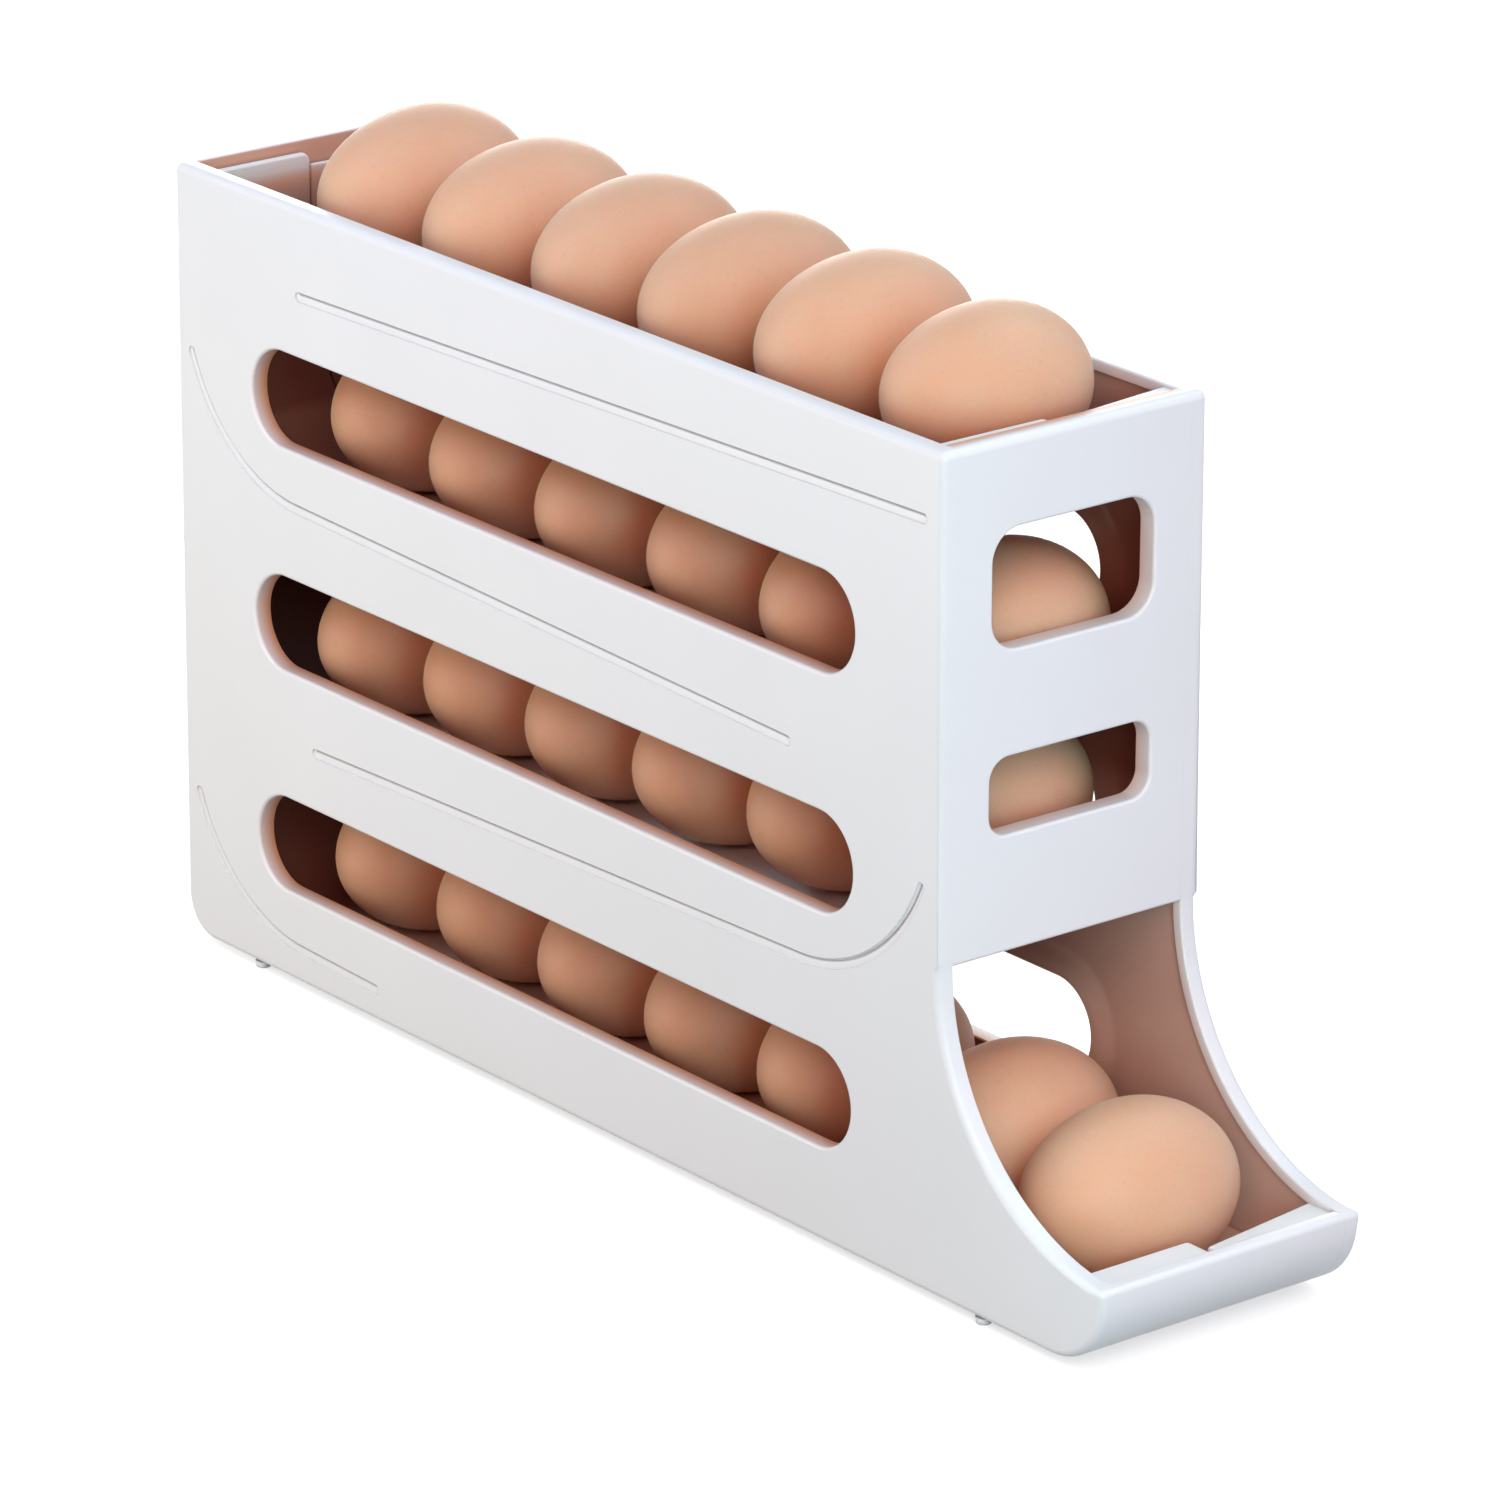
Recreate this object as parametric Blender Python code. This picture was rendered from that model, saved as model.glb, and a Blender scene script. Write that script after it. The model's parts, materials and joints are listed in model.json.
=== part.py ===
"""Rolling egg dispenser.

A narrow white casing holds four sloping egg tracks, one above the other, that
zig-zag down to an open mouth at the front. Each track is a left and a right
half with a narrow slot between them. Eggs lie across the tracks and roll.

Frame: +Z up, the mouth faces -Y, X runs across the width. The origin is on the
surface that the feet stand on, under the middle of the casing's length.
Places along the casing are measured backwards from its front face, and heights
upwards from the lower edge of the side panels.
"""
import math

import bmesh
import bpy
from mathutils import Matrix, Vector

MM = 0.001

# Fits shared by every piece
CLEARANCE = 0.3 * MM
OVERRUN = 4.0 * MM
WELD_DISTANCE = 0.01 * MM

# Casing
WIDTH = 80.0 * MM
BODY_LENGTH = 305.0 * MM
BODY_HEIGHT = 208.0 * MM
LIP_REACH = 60.5 * MM
LIP_HEIGHT = 21.3 * MM
SIDE_WALL = 3.0 * MM
RIM_DEPTH = 2.0 * MM
RIM_WIDTH = 3.0 * MM
MOUTH_RADIUS = 62.0 * MM
TOE_RADIUS = 18.5 * MM
HEEL_RADIUS = 11.0 * MM
EDGE_ROUNDING = 0.8 * MM
LIP_TURN = 10
SHARP_ANGLE = math.radians(35)
MOUTH_STEPS = 14
TOE_STEPS = 7
HEEL_STEPS = 5

# Side windows, whose levels go with the casing's height
WINDOW_HEIGHT = 25.3 * MM
WINDOW_FRONT_INSET = 31.6 * MM
WINDOW_BACK_INSET = 32.6 * MM
WINDOW_LEVEL_SHARES = (0.1764, 0.4635, 0.7505)
WINDOW_STEPS = 6

# Pressed lines on the outside, which follow the tracks a little above or below their upper faces
GROOVE_RADIUS = 1.2 * MM
GROOVE_DEPTH = 0.8 * MM
GROOVE_END_INSET = 6.4 * MM
GROOVE_BEND_RADIUS = 50.0 * MM
GROOVE_BEND_TURN = 67.5
GROOVE_STEPS = 7
TIP_STEPS = 2
LINE_1_FRONT_INSET = 6.8 * MM
LINE_1_FRONT_LIFT = 3.3 * MM
LINE_1_BACK_INSET = 53.4 * MM
LINE_1_BACK_LIFT = 1.3 * MM
LINE_2_FRONT_INSET = 56.0 * MM
LINE_2_FRONT_LIFT = -0.5 * MM
LINE_2_BEND_LIFT = 1.0 * MM
LINE_3_BACK_INSET = 58.1 * MM
LINE_3_BACK_LIFT = -1.2 * MM
LINE_3_BEND_LIFT = -0.6 * MM
LINE_4_BACK_INSET = 83.0 * MM
LINE_4_LIFT = 1.1 * MM

# Front panel
FRONT_WALL = 5.5 * MM
FRONT_BELOW_MOUTH_TOP = 1.4 * MM
FRONT_WINDOW_SIDE_INSET = 15.5 * MM
UPPER_FRONT_WINDOW_HEIGHT = 29.6 * MM
UPPER_FRONT_WINDOW_LEVEL_SHARE = 0.8236
UPPER_FRONT_WINDOW_CORNER = 8.0 * MM
LOWER_FRONT_WINDOW_HEIGHT = 19.2 * MM
LOWER_FRONT_WINDOW_LEVEL_SHARE = 0.5803
LOWER_FRONT_WINDOW_CORNER = 5.5 * MM
FRONT_WINDOW_STEPS = 4

# Back panel and lip
BACK_WALL = 3.0 * MM
LIP_WALL = 4.6 * MM
LIP_EDGE_RADIUS = 1.6 * MM
LIP_EDGE_STEPS = 3

# Eggs
EGG_RADIUS = 21.7 * MM
EGG_SMALL_END = 32.0 * MM
EGG_BIG_END = 27.0 * MM
EGG_AROUND = 16
EGG_ALONG = 10

# Tracks: the left half is level across, the right half falls towards the slot
TRACK_WALL = 2.0 * MM
TRACK_SLOT = 0.8 * MM
TRACK_SLOT_PLACE = -1.0 * MM
TRACK_BEND_RADIUS = 45.8 * MM
TRACK_BEND_STEPS = 10
TRACK_FALL = 1.0 * MM
TRACK_RISE = 1.4 * MM
TRACK_DROP_GAP = 45.2 * MM
FRONT_END_WALL = 3.4 * MM
FRONT_END_FALL = 2.6 * MM
BACK_END_FALL = 1.0 * MM

TIER_LEVEL_SHARES = (0.9022, 0.5885, 0.3452, 0.0137)
TIER_1_DESCENT = 5.0 * MM
TIER_1_BEND_RADIUS = 6.0 * MM
TIER_1_END_BELOW_RIM = 0.8 * MM
TIER_2_RISE = 6.1 * MM
TIER_2_LEFT_END_BELOW_RIM = 3.0 * MM
TIER_2_RIGHT_END_BELOW_RIM = 6.6 * MM
TIER_3_DESCENT = 6.9 * MM
TIER_3_END_RISE = 37.4 * MM
TIER_4_RISE = 6.4 * MM
TIER_4_END_RISE = 37.8 * MM
TIER_4_UNDERSIDE = 0.2 * MM

LIP_END_WALL = 7.9 * MM
LIP_END_FALL = 4.7 * MM
LIP_END_BELOW_EDGE = 0.8 * MM
LIP_BEND_RADIUS = 20.0 * MM

# Ledges on the side panels that carry the tracks
LEDGE_REACH = 4.0 * MM
LEDGE_HEIGHT = 1.6 * MM
LEDGE_ROOT = 1.5 * MM
LEDGE_END_MARGIN = 12.0 * MM
LOWEST_LEDGE_START = 100.0 * MM

# Feet
FOOT_HEIGHT = 2.0 * MM
FOOT_RADIUS = 2.1 * MM
FOOT_TAPER = 0.3 * MM
FOOT_INSET = 2.7 * MM
FOOT_SIDES = 20
FRONT_FOOT_PLACE = -15.5 * MM
BACK_FOOT_INSET = 30.0 * MM

# Egg places along the casing
TOP_ROW_BACK_INSET = 2.4 * MM
MOUTH_EGG_PLACE = -22.6 * MM
SECOND_ROW_START = 74.2 * MM
LOWEST_ROW_START = 74.9 * MM
WAITING_EGG_PLACE = 27.8 * MM
BEND_EGG_PLACE = 33.5 * MM
TOP_ROW_COUNT = 6
MIDDLE_ROW_COUNT = 5
LOWEST_ROW_COUNT = 5
MOUTH_ROW_COUNT = 2

# Derived sizes and places
TIER_1_LEVEL, TIER_2_LEVEL, TIER_3_LEVEL, TIER_4_LEVEL = (
    share * BODY_HEIGHT for share in TIER_LEVEL_SHARES
)
WINDOW_LENGTH = BODY_LENGTH - WINDOW_FRONT_INSET - WINDOW_BACK_INSET
FRONT_WINDOW_WIDTH = WIDTH - 2 * FRONT_WINDOW_SIDE_INSET
FRONT_LOWER_EDGE = LIP_HEIGHT + MOUTH_RADIUS - FRONT_BELOW_MOUTH_TOP
FRONT_FACE = LIP_REACH / 2 - BODY_LENGTH / 2
INNER_HALF_WIDTH = WIDTH / 2 - SIDE_WALL
RIM_HALF_WIDTH = INNER_HALF_WIDTH - RIM_DEPTH
BACK_INNER = BODY_LENGTH - BACK_WALL
EGG_PITCH = 2 * EGG_RADIUS + CLEARANCE
FRONT_END_FACE = FRONT_WALL + CLEARANCE + FRONT_END_WALL
BACK_END_FACE = BACK_INNER - CLEARANCE - TRACK_WALL
FRONT_FREE_END = FRONT_WALL + CLEARANCE + TRACK_DROP_GAP
BACK_FREE_END = BACK_END_FACE - TRACK_DROP_GAP
TOE_CENTRE = TOE_RADIUS - LIP_REACH
LEFT_TRACK_EDGE = TRACK_SLOT_PLACE - TRACK_SLOT / 2
RIGHT_TRACK_EDGE = TRACK_SLOT_PLACE + TRACK_SLOT / 2
INFILL_HALF_WIDTH = RIM_HALF_WIDTH - CLEARANCE
EGG_WAIST_PLACE = (EGG_SMALL_END - EGG_BIG_END) / 2

# Profiles in these planes are drawn flat and then stood up
UPRIGHT_LENGTHWISE = Matrix(((0, 0, 1), (1, 0, 0), (0, 1, 0))).to_4x4()
UPRIGHT_CROSSWISE = Matrix(((1, 0, 0), (0, 0, -1), (0, 1, 0))).to_4x4()


def clear_scene():
    for item in list(bpy.data.objects):
        bpy.data.objects.remove(item, do_unlink=True)


def make_collection(name):
    group = bpy.data.collections.new(name)
    bpy.context.scene.collection.children.link(group)
    return group


def make_material(name, colour, roughness):
    material = bpy.data.materials.new(name)
    material.use_nodes = True
    shader = material.node_tree.nodes["Principled BSDF"]
    shader.inputs["Base Color"].default_value = (*colour, 1)
    shader.inputs["Roughness"].default_value = roughness
    shader.inputs["Metallic"].default_value = 0
    return material


def place(along, height):
    """A point of a lengthwise profile, in world Y and Z."""
    return (FRONT_FACE + along, FOOT_HEIGHT + height)


def arc(centre, radius, start, end, steps):
    """Points along an arc, with its angles in degrees."""
    points = []
    for step in range(steps + 1):
        angle = math.radians(start + (end - start) * step / steps)
        points.append((centre[0] + radius * math.cos(angle), centre[1] + radius * math.sin(angle)))
    return points


def rounded_slot(centre, width, height, corner, steps):
    """A closed outline with round corners, which is a stadium at half the height."""
    across = width / 2 - corner
    up = height / 2 - corner
    points = []
    for quarter, (side, level) in enumerate(((1, 1), (-1, 1), (-1, -1), (1, -1))):
        middle = (centre[0] + side * across, centre[1] + level * up)
        points += arc(middle, corner, 90 * quarter, 90 * quarter + 90, steps)
    return without_repeats(points)


def without_repeats(points):
    kept = []
    for point in points:
        if not kept or math.dist(point, kept[-1]) > WELD_DISTANCE:
            kept.append(point)
    if math.dist(kept[0], kept[-1]) < WELD_DISTANCE:
        kept.pop()
    return kept


def curve_to_mesh(source, group):
    """The mesh of a curve object, with its caps welded, in place of the curve."""
    bpy.context.view_layer.update()
    evaluated = source.evaluated_get(bpy.context.evaluated_depsgraph_get())
    mesh = bpy.data.meshes.new_from_object(evaluated)
    work = bmesh.new()
    work.from_mesh(mesh)
    bmesh.ops.remove_doubles(work, verts=work.verts, dist=WELD_DISTANCE)
    bmesh.ops.recalc_face_normals(work, faces=work.faces)
    work.to_mesh(mesh)
    work.free()
    name = source.name
    matrix = source.matrix_world.copy()
    bpy.data.objects.remove(source, do_unlink=True)
    result = bpy.data.objects.new(name, mesh)
    result.matrix_world = matrix
    group.objects.link(result)
    return result


def sheet(name, outlines, thickness, rounding, stand, offset, group):
    """A flat sheet cut to its outlines, stood up and moved along its own normal."""
    curve = bpy.data.curves.new(name, "CURVE")
    curve.dimensions = "2D"
    curve.fill_mode = "BOTH"
    curve.extrude = thickness / 2 - rounding
    curve.bevel_depth = rounding
    curve.bevel_resolution = 1
    curve.offset = -rounding
    for outline in outlines:
        spline = curve.splines.new("POLY")
        spline.points.add(len(outline) - 1)
        for point, (across, up) in zip(spline.points, outline):
            point.co = (across, up, 0, 1)
        spline.use_cyclic_u = True
    source = bpy.data.objects.new(name, curve)
    source.matrix_world = stand @ Matrix.Translation((0, 0, offset))
    group.objects.link(source)
    return curve_to_mesh(source, group)


def round_tip(end, before, radius):
    """Points beyond the end of a path, each with its share of the radius, that round it off."""
    outward = (end - before).normalized()
    points = []
    for step in range(1, TIP_STEPS + 1):
        angle = math.radians(90 * step / TIP_STEPS)
        points.append((end + outward * radius * math.sin(angle), math.cos(angle)))
    return points


def tubes(name, paths, radius, group):
    """Round bars with round ends along paths of world points."""
    curve = bpy.data.curves.new(name, "CURVE")
    curve.dimensions = "3D"
    curve.bevel_depth = radius
    curve.bevel_resolution = 2
    for path in paths:
        ends = [Vector(point) for point in path]
        points = round_tip(ends[0], ends[1], radius)[::-1] + [(point, 1) for point in ends]
        points += round_tip(ends[-1], ends[-2], radius)
        spline = curve.splines.new("POLY")
        spline.points.add(len(points) - 1)
        for point, (position, share) in zip(spline.points, points):
            point.co = (*position, 1)
            point.radius = share
    source = bpy.data.objects.new(name, curve)
    group.objects.link(source)
    return curve_to_mesh(source, group)


def finish(mesh, material):
    """Gives a mesh its material, and smooth shading that breaks at its real edges."""
    mesh.materials.append(material)
    mesh.shade_smooth()
    mesh.set_sharp_from_angle(angle=SHARP_ANGLE)


def add_boolean(item, tool, operation):
    tool.hide_render = True
    tool.display_type = "WIRE"
    boolean = item.modifiers.new(tool.name, "BOOLEAN")
    boolean.operation = operation
    boolean.solver = "EXACT"
    boolean.object = tool


def side_outline():
    """The side panel seen from the side, with the scooped mouth and the round toe."""
    mouth_centre = (-MOUTH_RADIUS, LIP_HEIGHT + MOUTH_RADIUS)
    lip_angle = math.degrees(math.acos((MOUTH_RADIUS - LIP_REACH) / MOUTH_RADIUS))
    toe_centre = (TOE_CENTRE, TOE_RADIUS)
    heel_centre = (BODY_LENGTH - HEEL_RADIUS, HEEL_RADIUS)
    points = [(BODY_LENGTH, BODY_HEIGHT), (0, BODY_HEIGHT)]
    points += arc(mouth_centre, MOUTH_RADIUS, 0, -lip_angle, MOUTH_STEPS)
    points += arc(toe_centre, TOE_RADIUS, 180, 270, TOE_STEPS)
    points += arc(heel_centre, HEEL_RADIUS, 270, 360, HEEL_STEPS)
    return [place(*point) for point in without_repeats(points)]


def pocket_outline():
    """The inner face of the side panel, inside its rim."""
    mouth_centre = (-MOUTH_RADIUS, LIP_HEIGHT + MOUTH_RADIUS)
    radius = MOUTH_RADIUS + RIM_WIDTH
    reach = LIP_REACH - RIM_WIDTH
    lip_angle = math.degrees(math.acos((MOUTH_RADIUS - reach) / radius))
    toe_centre = (TOE_CENTRE, TOE_RADIUS)
    heel_centre = (BODY_LENGTH - HEEL_RADIUS, HEEL_RADIUS)
    rim_level = BODY_HEIGHT - RIM_WIDTH
    points = [(BODY_LENGTH - RIM_WIDTH, rim_level), (RIM_WIDTH, rim_level)]
    points += arc(mouth_centre, radius, 0, -lip_angle, MOUTH_STEPS)
    points += arc(toe_centre, TOE_RADIUS - RIM_WIDTH, 180 + LIP_TURN, 270, TOE_STEPS)
    points += arc(heel_centre, HEEL_RADIUS - RIM_WIDTH, 270, 360, HEEL_STEPS)
    return [place(*point) for point in without_repeats(points)]


def side_windows():
    outlines = []
    middle = WINDOW_FRONT_INSET + WINDOW_LENGTH / 2
    for share in WINDOW_LEVEL_SHARES:
        centre = place(middle, share * BODY_HEIGHT)
        corner = WINDOW_HEIGHT / 2
        outlines.append(rounded_slot(centre, WINDOW_LENGTH, WINDOW_HEIGHT, corner, WINDOW_STEPS))
    return outlines


def bent_line(straight_end, height_at, lift, to_back):
    """A pressed line: straight from one end, then curving up near the back or the front."""
    run = GROOVE_END_INSET + GROOVE_BEND_RADIUS * math.sin(math.radians(GROOVE_BEND_TURN))
    along = BODY_LENGTH - run if to_back else run
    turn = GROOVE_BEND_TURN if to_back else -GROOVE_BEND_TURN
    centre = (along, height_at(along) + lift + GROOVE_BEND_RADIUS)
    return [straight_end] + arc(centre, GROOVE_BEND_RADIUS, 270, 270 + turn, GROOVE_STEPS)


def line_end(along, height_at, lift):
    return (along, height_at(along) + lift)


def pressed_lines():
    """The four pressed lines, which show on the outside where the tracks run."""
    top_front = line_end(LINE_1_FRONT_INSET, tier_1_height, LINE_1_FRONT_LIFT)
    top_back = line_end(BODY_LENGTH - LINE_1_BACK_INSET, tier_1_height, LINE_1_BACK_LIFT)
    second_end = line_end(LINE_2_FRONT_INSET, tier_2_height, LINE_2_FRONT_LIFT)
    third_end = line_end(BODY_LENGTH - LINE_3_BACK_INSET, tier_3_height, LINE_3_BACK_LIFT)
    lowest_end = line_end(BODY_LENGTH - LINE_4_BACK_INSET, tier_4_height, LINE_4_LIFT)
    return (
        [top_front, top_back],
        bent_line(second_end, tier_2_height, LINE_2_BEND_LIFT, True),
        bent_line(third_end, tier_3_height, LINE_3_BEND_LIFT, False),
        bent_line(lowest_end, tier_4_height, LINE_4_LIFT, True),
    )


def tier_1_height(along):
    return TIER_1_LEVEL - TIER_1_DESCENT * along / BODY_LENGTH


def tier_2_height(along):
    return TIER_2_LEVEL + TIER_2_RISE * along / BODY_LENGTH


def tier_3_height(along):
    return TIER_3_LEVEL - TIER_3_DESCENT * along / BODY_LENGTH


def tier_4_height(along):
    return TIER_4_LEVEL + TIER_4_RISE * along / BODY_LENGTH


def ledge_outline(height_at, start, end):
    """A low rib under one track, seen from the side."""
    top = -TRACK_WALL - CLEARANCE
    corners = [
        (start, height_at(start) + top),
        (end, height_at(end) + top),
        (end, height_at(end) + top - LEDGE_HEIGHT),
        (start, height_at(start) + top - LEDGE_HEIGHT),
    ]
    return [place(*corner) for corner in corners]


def ledge_outlines():
    end = BACK_FREE_END - LEDGE_END_MARGIN
    spans = (
        (tier_1_height, FRONT_END_FACE + LEDGE_END_MARGIN),
        (tier_2_height, FRONT_FREE_END + LEDGE_END_MARGIN),
        (tier_3_height, FRONT_END_FACE + TRACK_BEND_RADIUS),
        (tier_4_height, LOWEST_LEDGE_START),
    )
    return [ledge_outline(height_at, start, end) for height_at, start in spans]


def make_side_panel(label, side, material, parts, cutters):
    """A side wall with a thicker rim, three long windows, four pressed lines and the ledges."""
    name = label + "_side_panel"
    thickness = SIDE_WALL + RIM_DEPTH
    offset = side * (WIDTH / 2 - thickness / 2)
    outlines = [side_outline()] + side_windows()
    panel = sheet(name, outlines, thickness, EDGE_ROUNDING, UPRIGHT_LENGTHWISE, offset, parts)
    panel.data.materials.append(material)
    depth = RIM_DEPTH + OVERRUN
    inward = side * (INNER_HALF_WIDTH - depth / 2)
    pocket = sheet(label + "_pocket", [pocket_outline()], depth, 0, UPRIGHT_LENGTHWISE, inward, cutters)
    add_boolean(panel, pocket, "DIFFERENCE")
    surface = side * (WIDTH / 2 + GROOVE_RADIUS - GROOVE_DEPTH)
    paths = [[(surface, *place(*point)) for point in path] for path in pressed_lines()]
    add_boolean(panel, tubes(label + "_pressed_lines", paths, GROOVE_RADIUS, cutters), "DIFFERENCE")
    reach = LEDGE_REACH + LEDGE_ROOT
    inner = side * (INNER_HALF_WIDTH + LEDGE_ROOT - reach / 2)
    name = label + "_ledges"
    ledges = sheet(name, ledge_outlines(), reach, 0, UPRIGHT_LENGTHWISE, inner, cutters)
    add_boolean(panel, ledges, "UNION")


def make_front_panel(material, parts):
    """The upper front wall with its two windows."""
    half = INFILL_HALF_WIDTH
    low = FOOT_HEIGHT + FRONT_LOWER_EDGE
    high = FOOT_HEIGHT + BODY_HEIGHT
    border = [(half, high), (-half, high), (-half, low), (half, low)]
    windows = (
        (UPPER_FRONT_WINDOW_LEVEL_SHARE, UPPER_FRONT_WINDOW_HEIGHT, UPPER_FRONT_WINDOW_CORNER),
        (LOWER_FRONT_WINDOW_LEVEL_SHARE, LOWER_FRONT_WINDOW_HEIGHT, LOWER_FRONT_WINDOW_CORNER),
    )
    outlines = [border]
    for share, height, corner in windows:
        centre = (0, FOOT_HEIGHT + share * BODY_HEIGHT)
        outlines.append(rounded_slot(centre, FRONT_WINDOW_WIDTH, height, corner, FRONT_WINDOW_STEPS))
    offset = -(FRONT_FACE + FRONT_WALL / 2)
    panel = sheet("front_panel", outlines, FRONT_WALL, EDGE_ROUNDING, UPRIGHT_CROSSWISE, offset, parts)
    finish(panel.data, material)


def make_back_panel(material, parts):
    """The back wall, which stops above the round heel."""
    half = INFILL_HALF_WIDTH
    low = FOOT_HEIGHT + HEEL_RADIUS
    high = FOOT_HEIGHT + BODY_HEIGHT
    border = [(half, high), (-half, high), (-half, low), (half, low)]
    offset = -(FRONT_FACE + BODY_LENGTH - BACK_WALL / 2)
    panel = sheet("back_panel", [border], BACK_WALL, EDGE_ROUNDING, UPRIGHT_CROSSWISE, offset, parts)
    finish(panel.data, material)


def make_lip_panel(material, parts):
    """The low front wall of the mouth, which curls under at the toe."""
    toe_centre = (TOE_CENTRE, TOE_RADIUS)
    edge_level = LIP_HEIGHT - LIP_EDGE_RADIUS
    outer_edge = (-LIP_REACH + LIP_EDGE_RADIUS, edge_level)
    inner_edge = (-LIP_REACH + LIP_WALL - LIP_EDGE_RADIUS, edge_level)
    points = arc(inner_edge, LIP_EDGE_RADIUS, 0, 90, LIP_EDGE_STEPS)
    points += arc(outer_edge, LIP_EDGE_RADIUS, 90, 180, LIP_EDGE_STEPS)
    points += arc(toe_centre, TOE_RADIUS, 180, 270, TOE_STEPS)
    points += arc(toe_centre, TOE_RADIUS - LIP_WALL, 270, 180, TOE_STEPS)
    outline = [place(*point) for point in without_repeats(points)]
    panel = sheet("lip_panel", [outline], 2 * INFILL_HALF_WIDTH, 0, UPRIGHT_LENGTHWISE, 0, parts)
    finish(panel.data, material)


def bent_end(centre, radius, towards_front, walls, falls, rises, sweep):
    """Stations round an upturned end, each with its upper point, the direction to the bend's
    centre, the wall there, its fall at the slot and its rise at the side panel."""
    stations = []
    side = -1 if towards_front else 1
    for step in range(TRACK_BEND_STEPS + 1):
        share = step / TRACK_BEND_STEPS
        angle = math.radians(sweep * share)
        outward = (side * math.sin(angle), -math.cos(angle))
        upper = (centre[0] + radius * outward[0], centre[1] + radius * outward[1])
        wall = walls[0] + (walls[1] - walls[0]) * share
        fall = falls[0] + (falls[1] - falls[0]) * share * share
        rise = rises[0] + (rises[1] - rises[0]) * share
        stations.append((upper, (-outward[0], -outward[1]), wall, fall, rise))
    return stations


def floor_station(along, height_at):
    return ((along, height_at(along)), (0, 1), TRACK_WALL, TRACK_FALL, TRACK_RISE)


def carried_up(station, top):
    """A station like the given one, straight above it."""
    upper, inward, wall, fall, rise = station
    return ((upper[0], top), inward, wall, fall, rise)


def wide_bend(height_at, towards_front, end_rise):
    """The upturned end that guides the eggs, up to a given rise above the start of its bend."""
    start = FRONT_END_FACE + TRACK_BEND_RADIUS
    walls = (TRACK_WALL, FRONT_END_WALL)
    falls = (TRACK_FALL, FRONT_END_FALL)
    if not towards_front:
        start = BACK_END_FACE - TRACK_BEND_RADIUS
        walls = (TRACK_WALL, TRACK_WALL)
        falls = (TRACK_FALL, BACK_END_FALL)
    centre = (start, height_at(start) + TRACK_BEND_RADIUS)
    bend_rise = min(end_rise, TRACK_BEND_RADIUS)
    sweep = math.degrees(math.acos(1 - bend_rise / TRACK_BEND_RADIUS))
    rises = (TRACK_RISE, TRACK_RISE)
    bend = bent_end(centre, TRACK_BEND_RADIUS, towards_front, walls, falls, rises, sweep)
    if end_rise > bend_rise:
        bend.append(carried_up(bend[-1], height_at(start) + end_rise))
    return bend


def tier_1_stations():
    start = FRONT_END_FACE + TIER_1_BEND_RADIUS
    centre = (start, tier_1_height(start) + TIER_1_BEND_RADIUS)
    walls = (TRACK_WALL, FRONT_END_WALL)
    falls = (TRACK_FALL, FRONT_END_FALL)
    rises = (TRACK_RISE, TRACK_RISE)
    bend = bent_end(centre, TIER_1_BEND_RADIUS, True, walls, falls, rises, 90)
    top = carried_up(bend[-1], BODY_HEIGHT - TIER_1_END_BELOW_RIM)
    return [floor_station(BACK_FREE_END, tier_1_height)] + bend + [top]


def tier_2_stations(below_rim):
    end_rise = BODY_HEIGHT - below_rim - tier_2_height(BACK_END_FACE - TRACK_BEND_RADIUS)
    return [floor_station(FRONT_FREE_END, tier_2_height)] + wide_bend(tier_2_height, False, end_rise)


def tier_3_stations():
    bend = wide_bend(tier_3_height, True, TIER_3_END_RISE)
    return [floor_station(BACK_FREE_END, tier_3_height)] + bend


def lip_bend():
    """The front end of the lowest track, which lies in the lip."""
    start = LIP_WALL + CLEARANCE + LIP_END_WALL - LIP_REACH + LIP_BEND_RADIUS
    centre = (start, tier_4_height(start) + LIP_BEND_RADIUS)
    rise_to_centre = centre[1] - LIP_HEIGHT + LIP_END_BELOW_EDGE
    sweep = math.degrees(math.acos(rise_to_centre / LIP_BEND_RADIUS))
    walls = (TRACK_WALL, LIP_END_WALL)
    falls = (TRACK_FALL, LIP_END_FALL)
    return bent_end(centre, LIP_BEND_RADIUS, True, walls, falls, (TRACK_RISE, 0), sweep)


def lip_lower_points():
    """The under side of the lowest track's front end, round the inside of the lip panel."""
    step = TOE_CENTRE + CLEARANCE
    radius = TOE_RADIUS - LIP_WALL - CLEARANCE
    points = [(TOE_CENTRE - radius, LIP_HEIGHT - LIP_END_BELOW_EDGE)]
    points += arc((TOE_CENTRE, TOE_RADIUS), radius, 180, 270, TOE_STEPS)
    points += [(step, LIP_WALL + CLEARANCE), (step, TIER_4_UNDERSIDE)]
    return points


def lower_outline(stations):
    points = []
    for upper, inward, wall, _fall, _rise in stations:
        points.append((upper[0] - inward[0] * wall, upper[1] - inward[1] * wall))
    return points


def upper_outline(stations, lean):
    """The upper face: as drawn for 0, lifted by the rise for 1 and lowered by the fall for -1."""
    points = []
    for upper, inward, _wall, fall, rise in stations:
        shift = {0: 0, 1: rise, -1: -fall}[lean]
        points.append((upper[0] + inward[0] * shift, upper[1] + inward[1] * shift))
    return points


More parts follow.
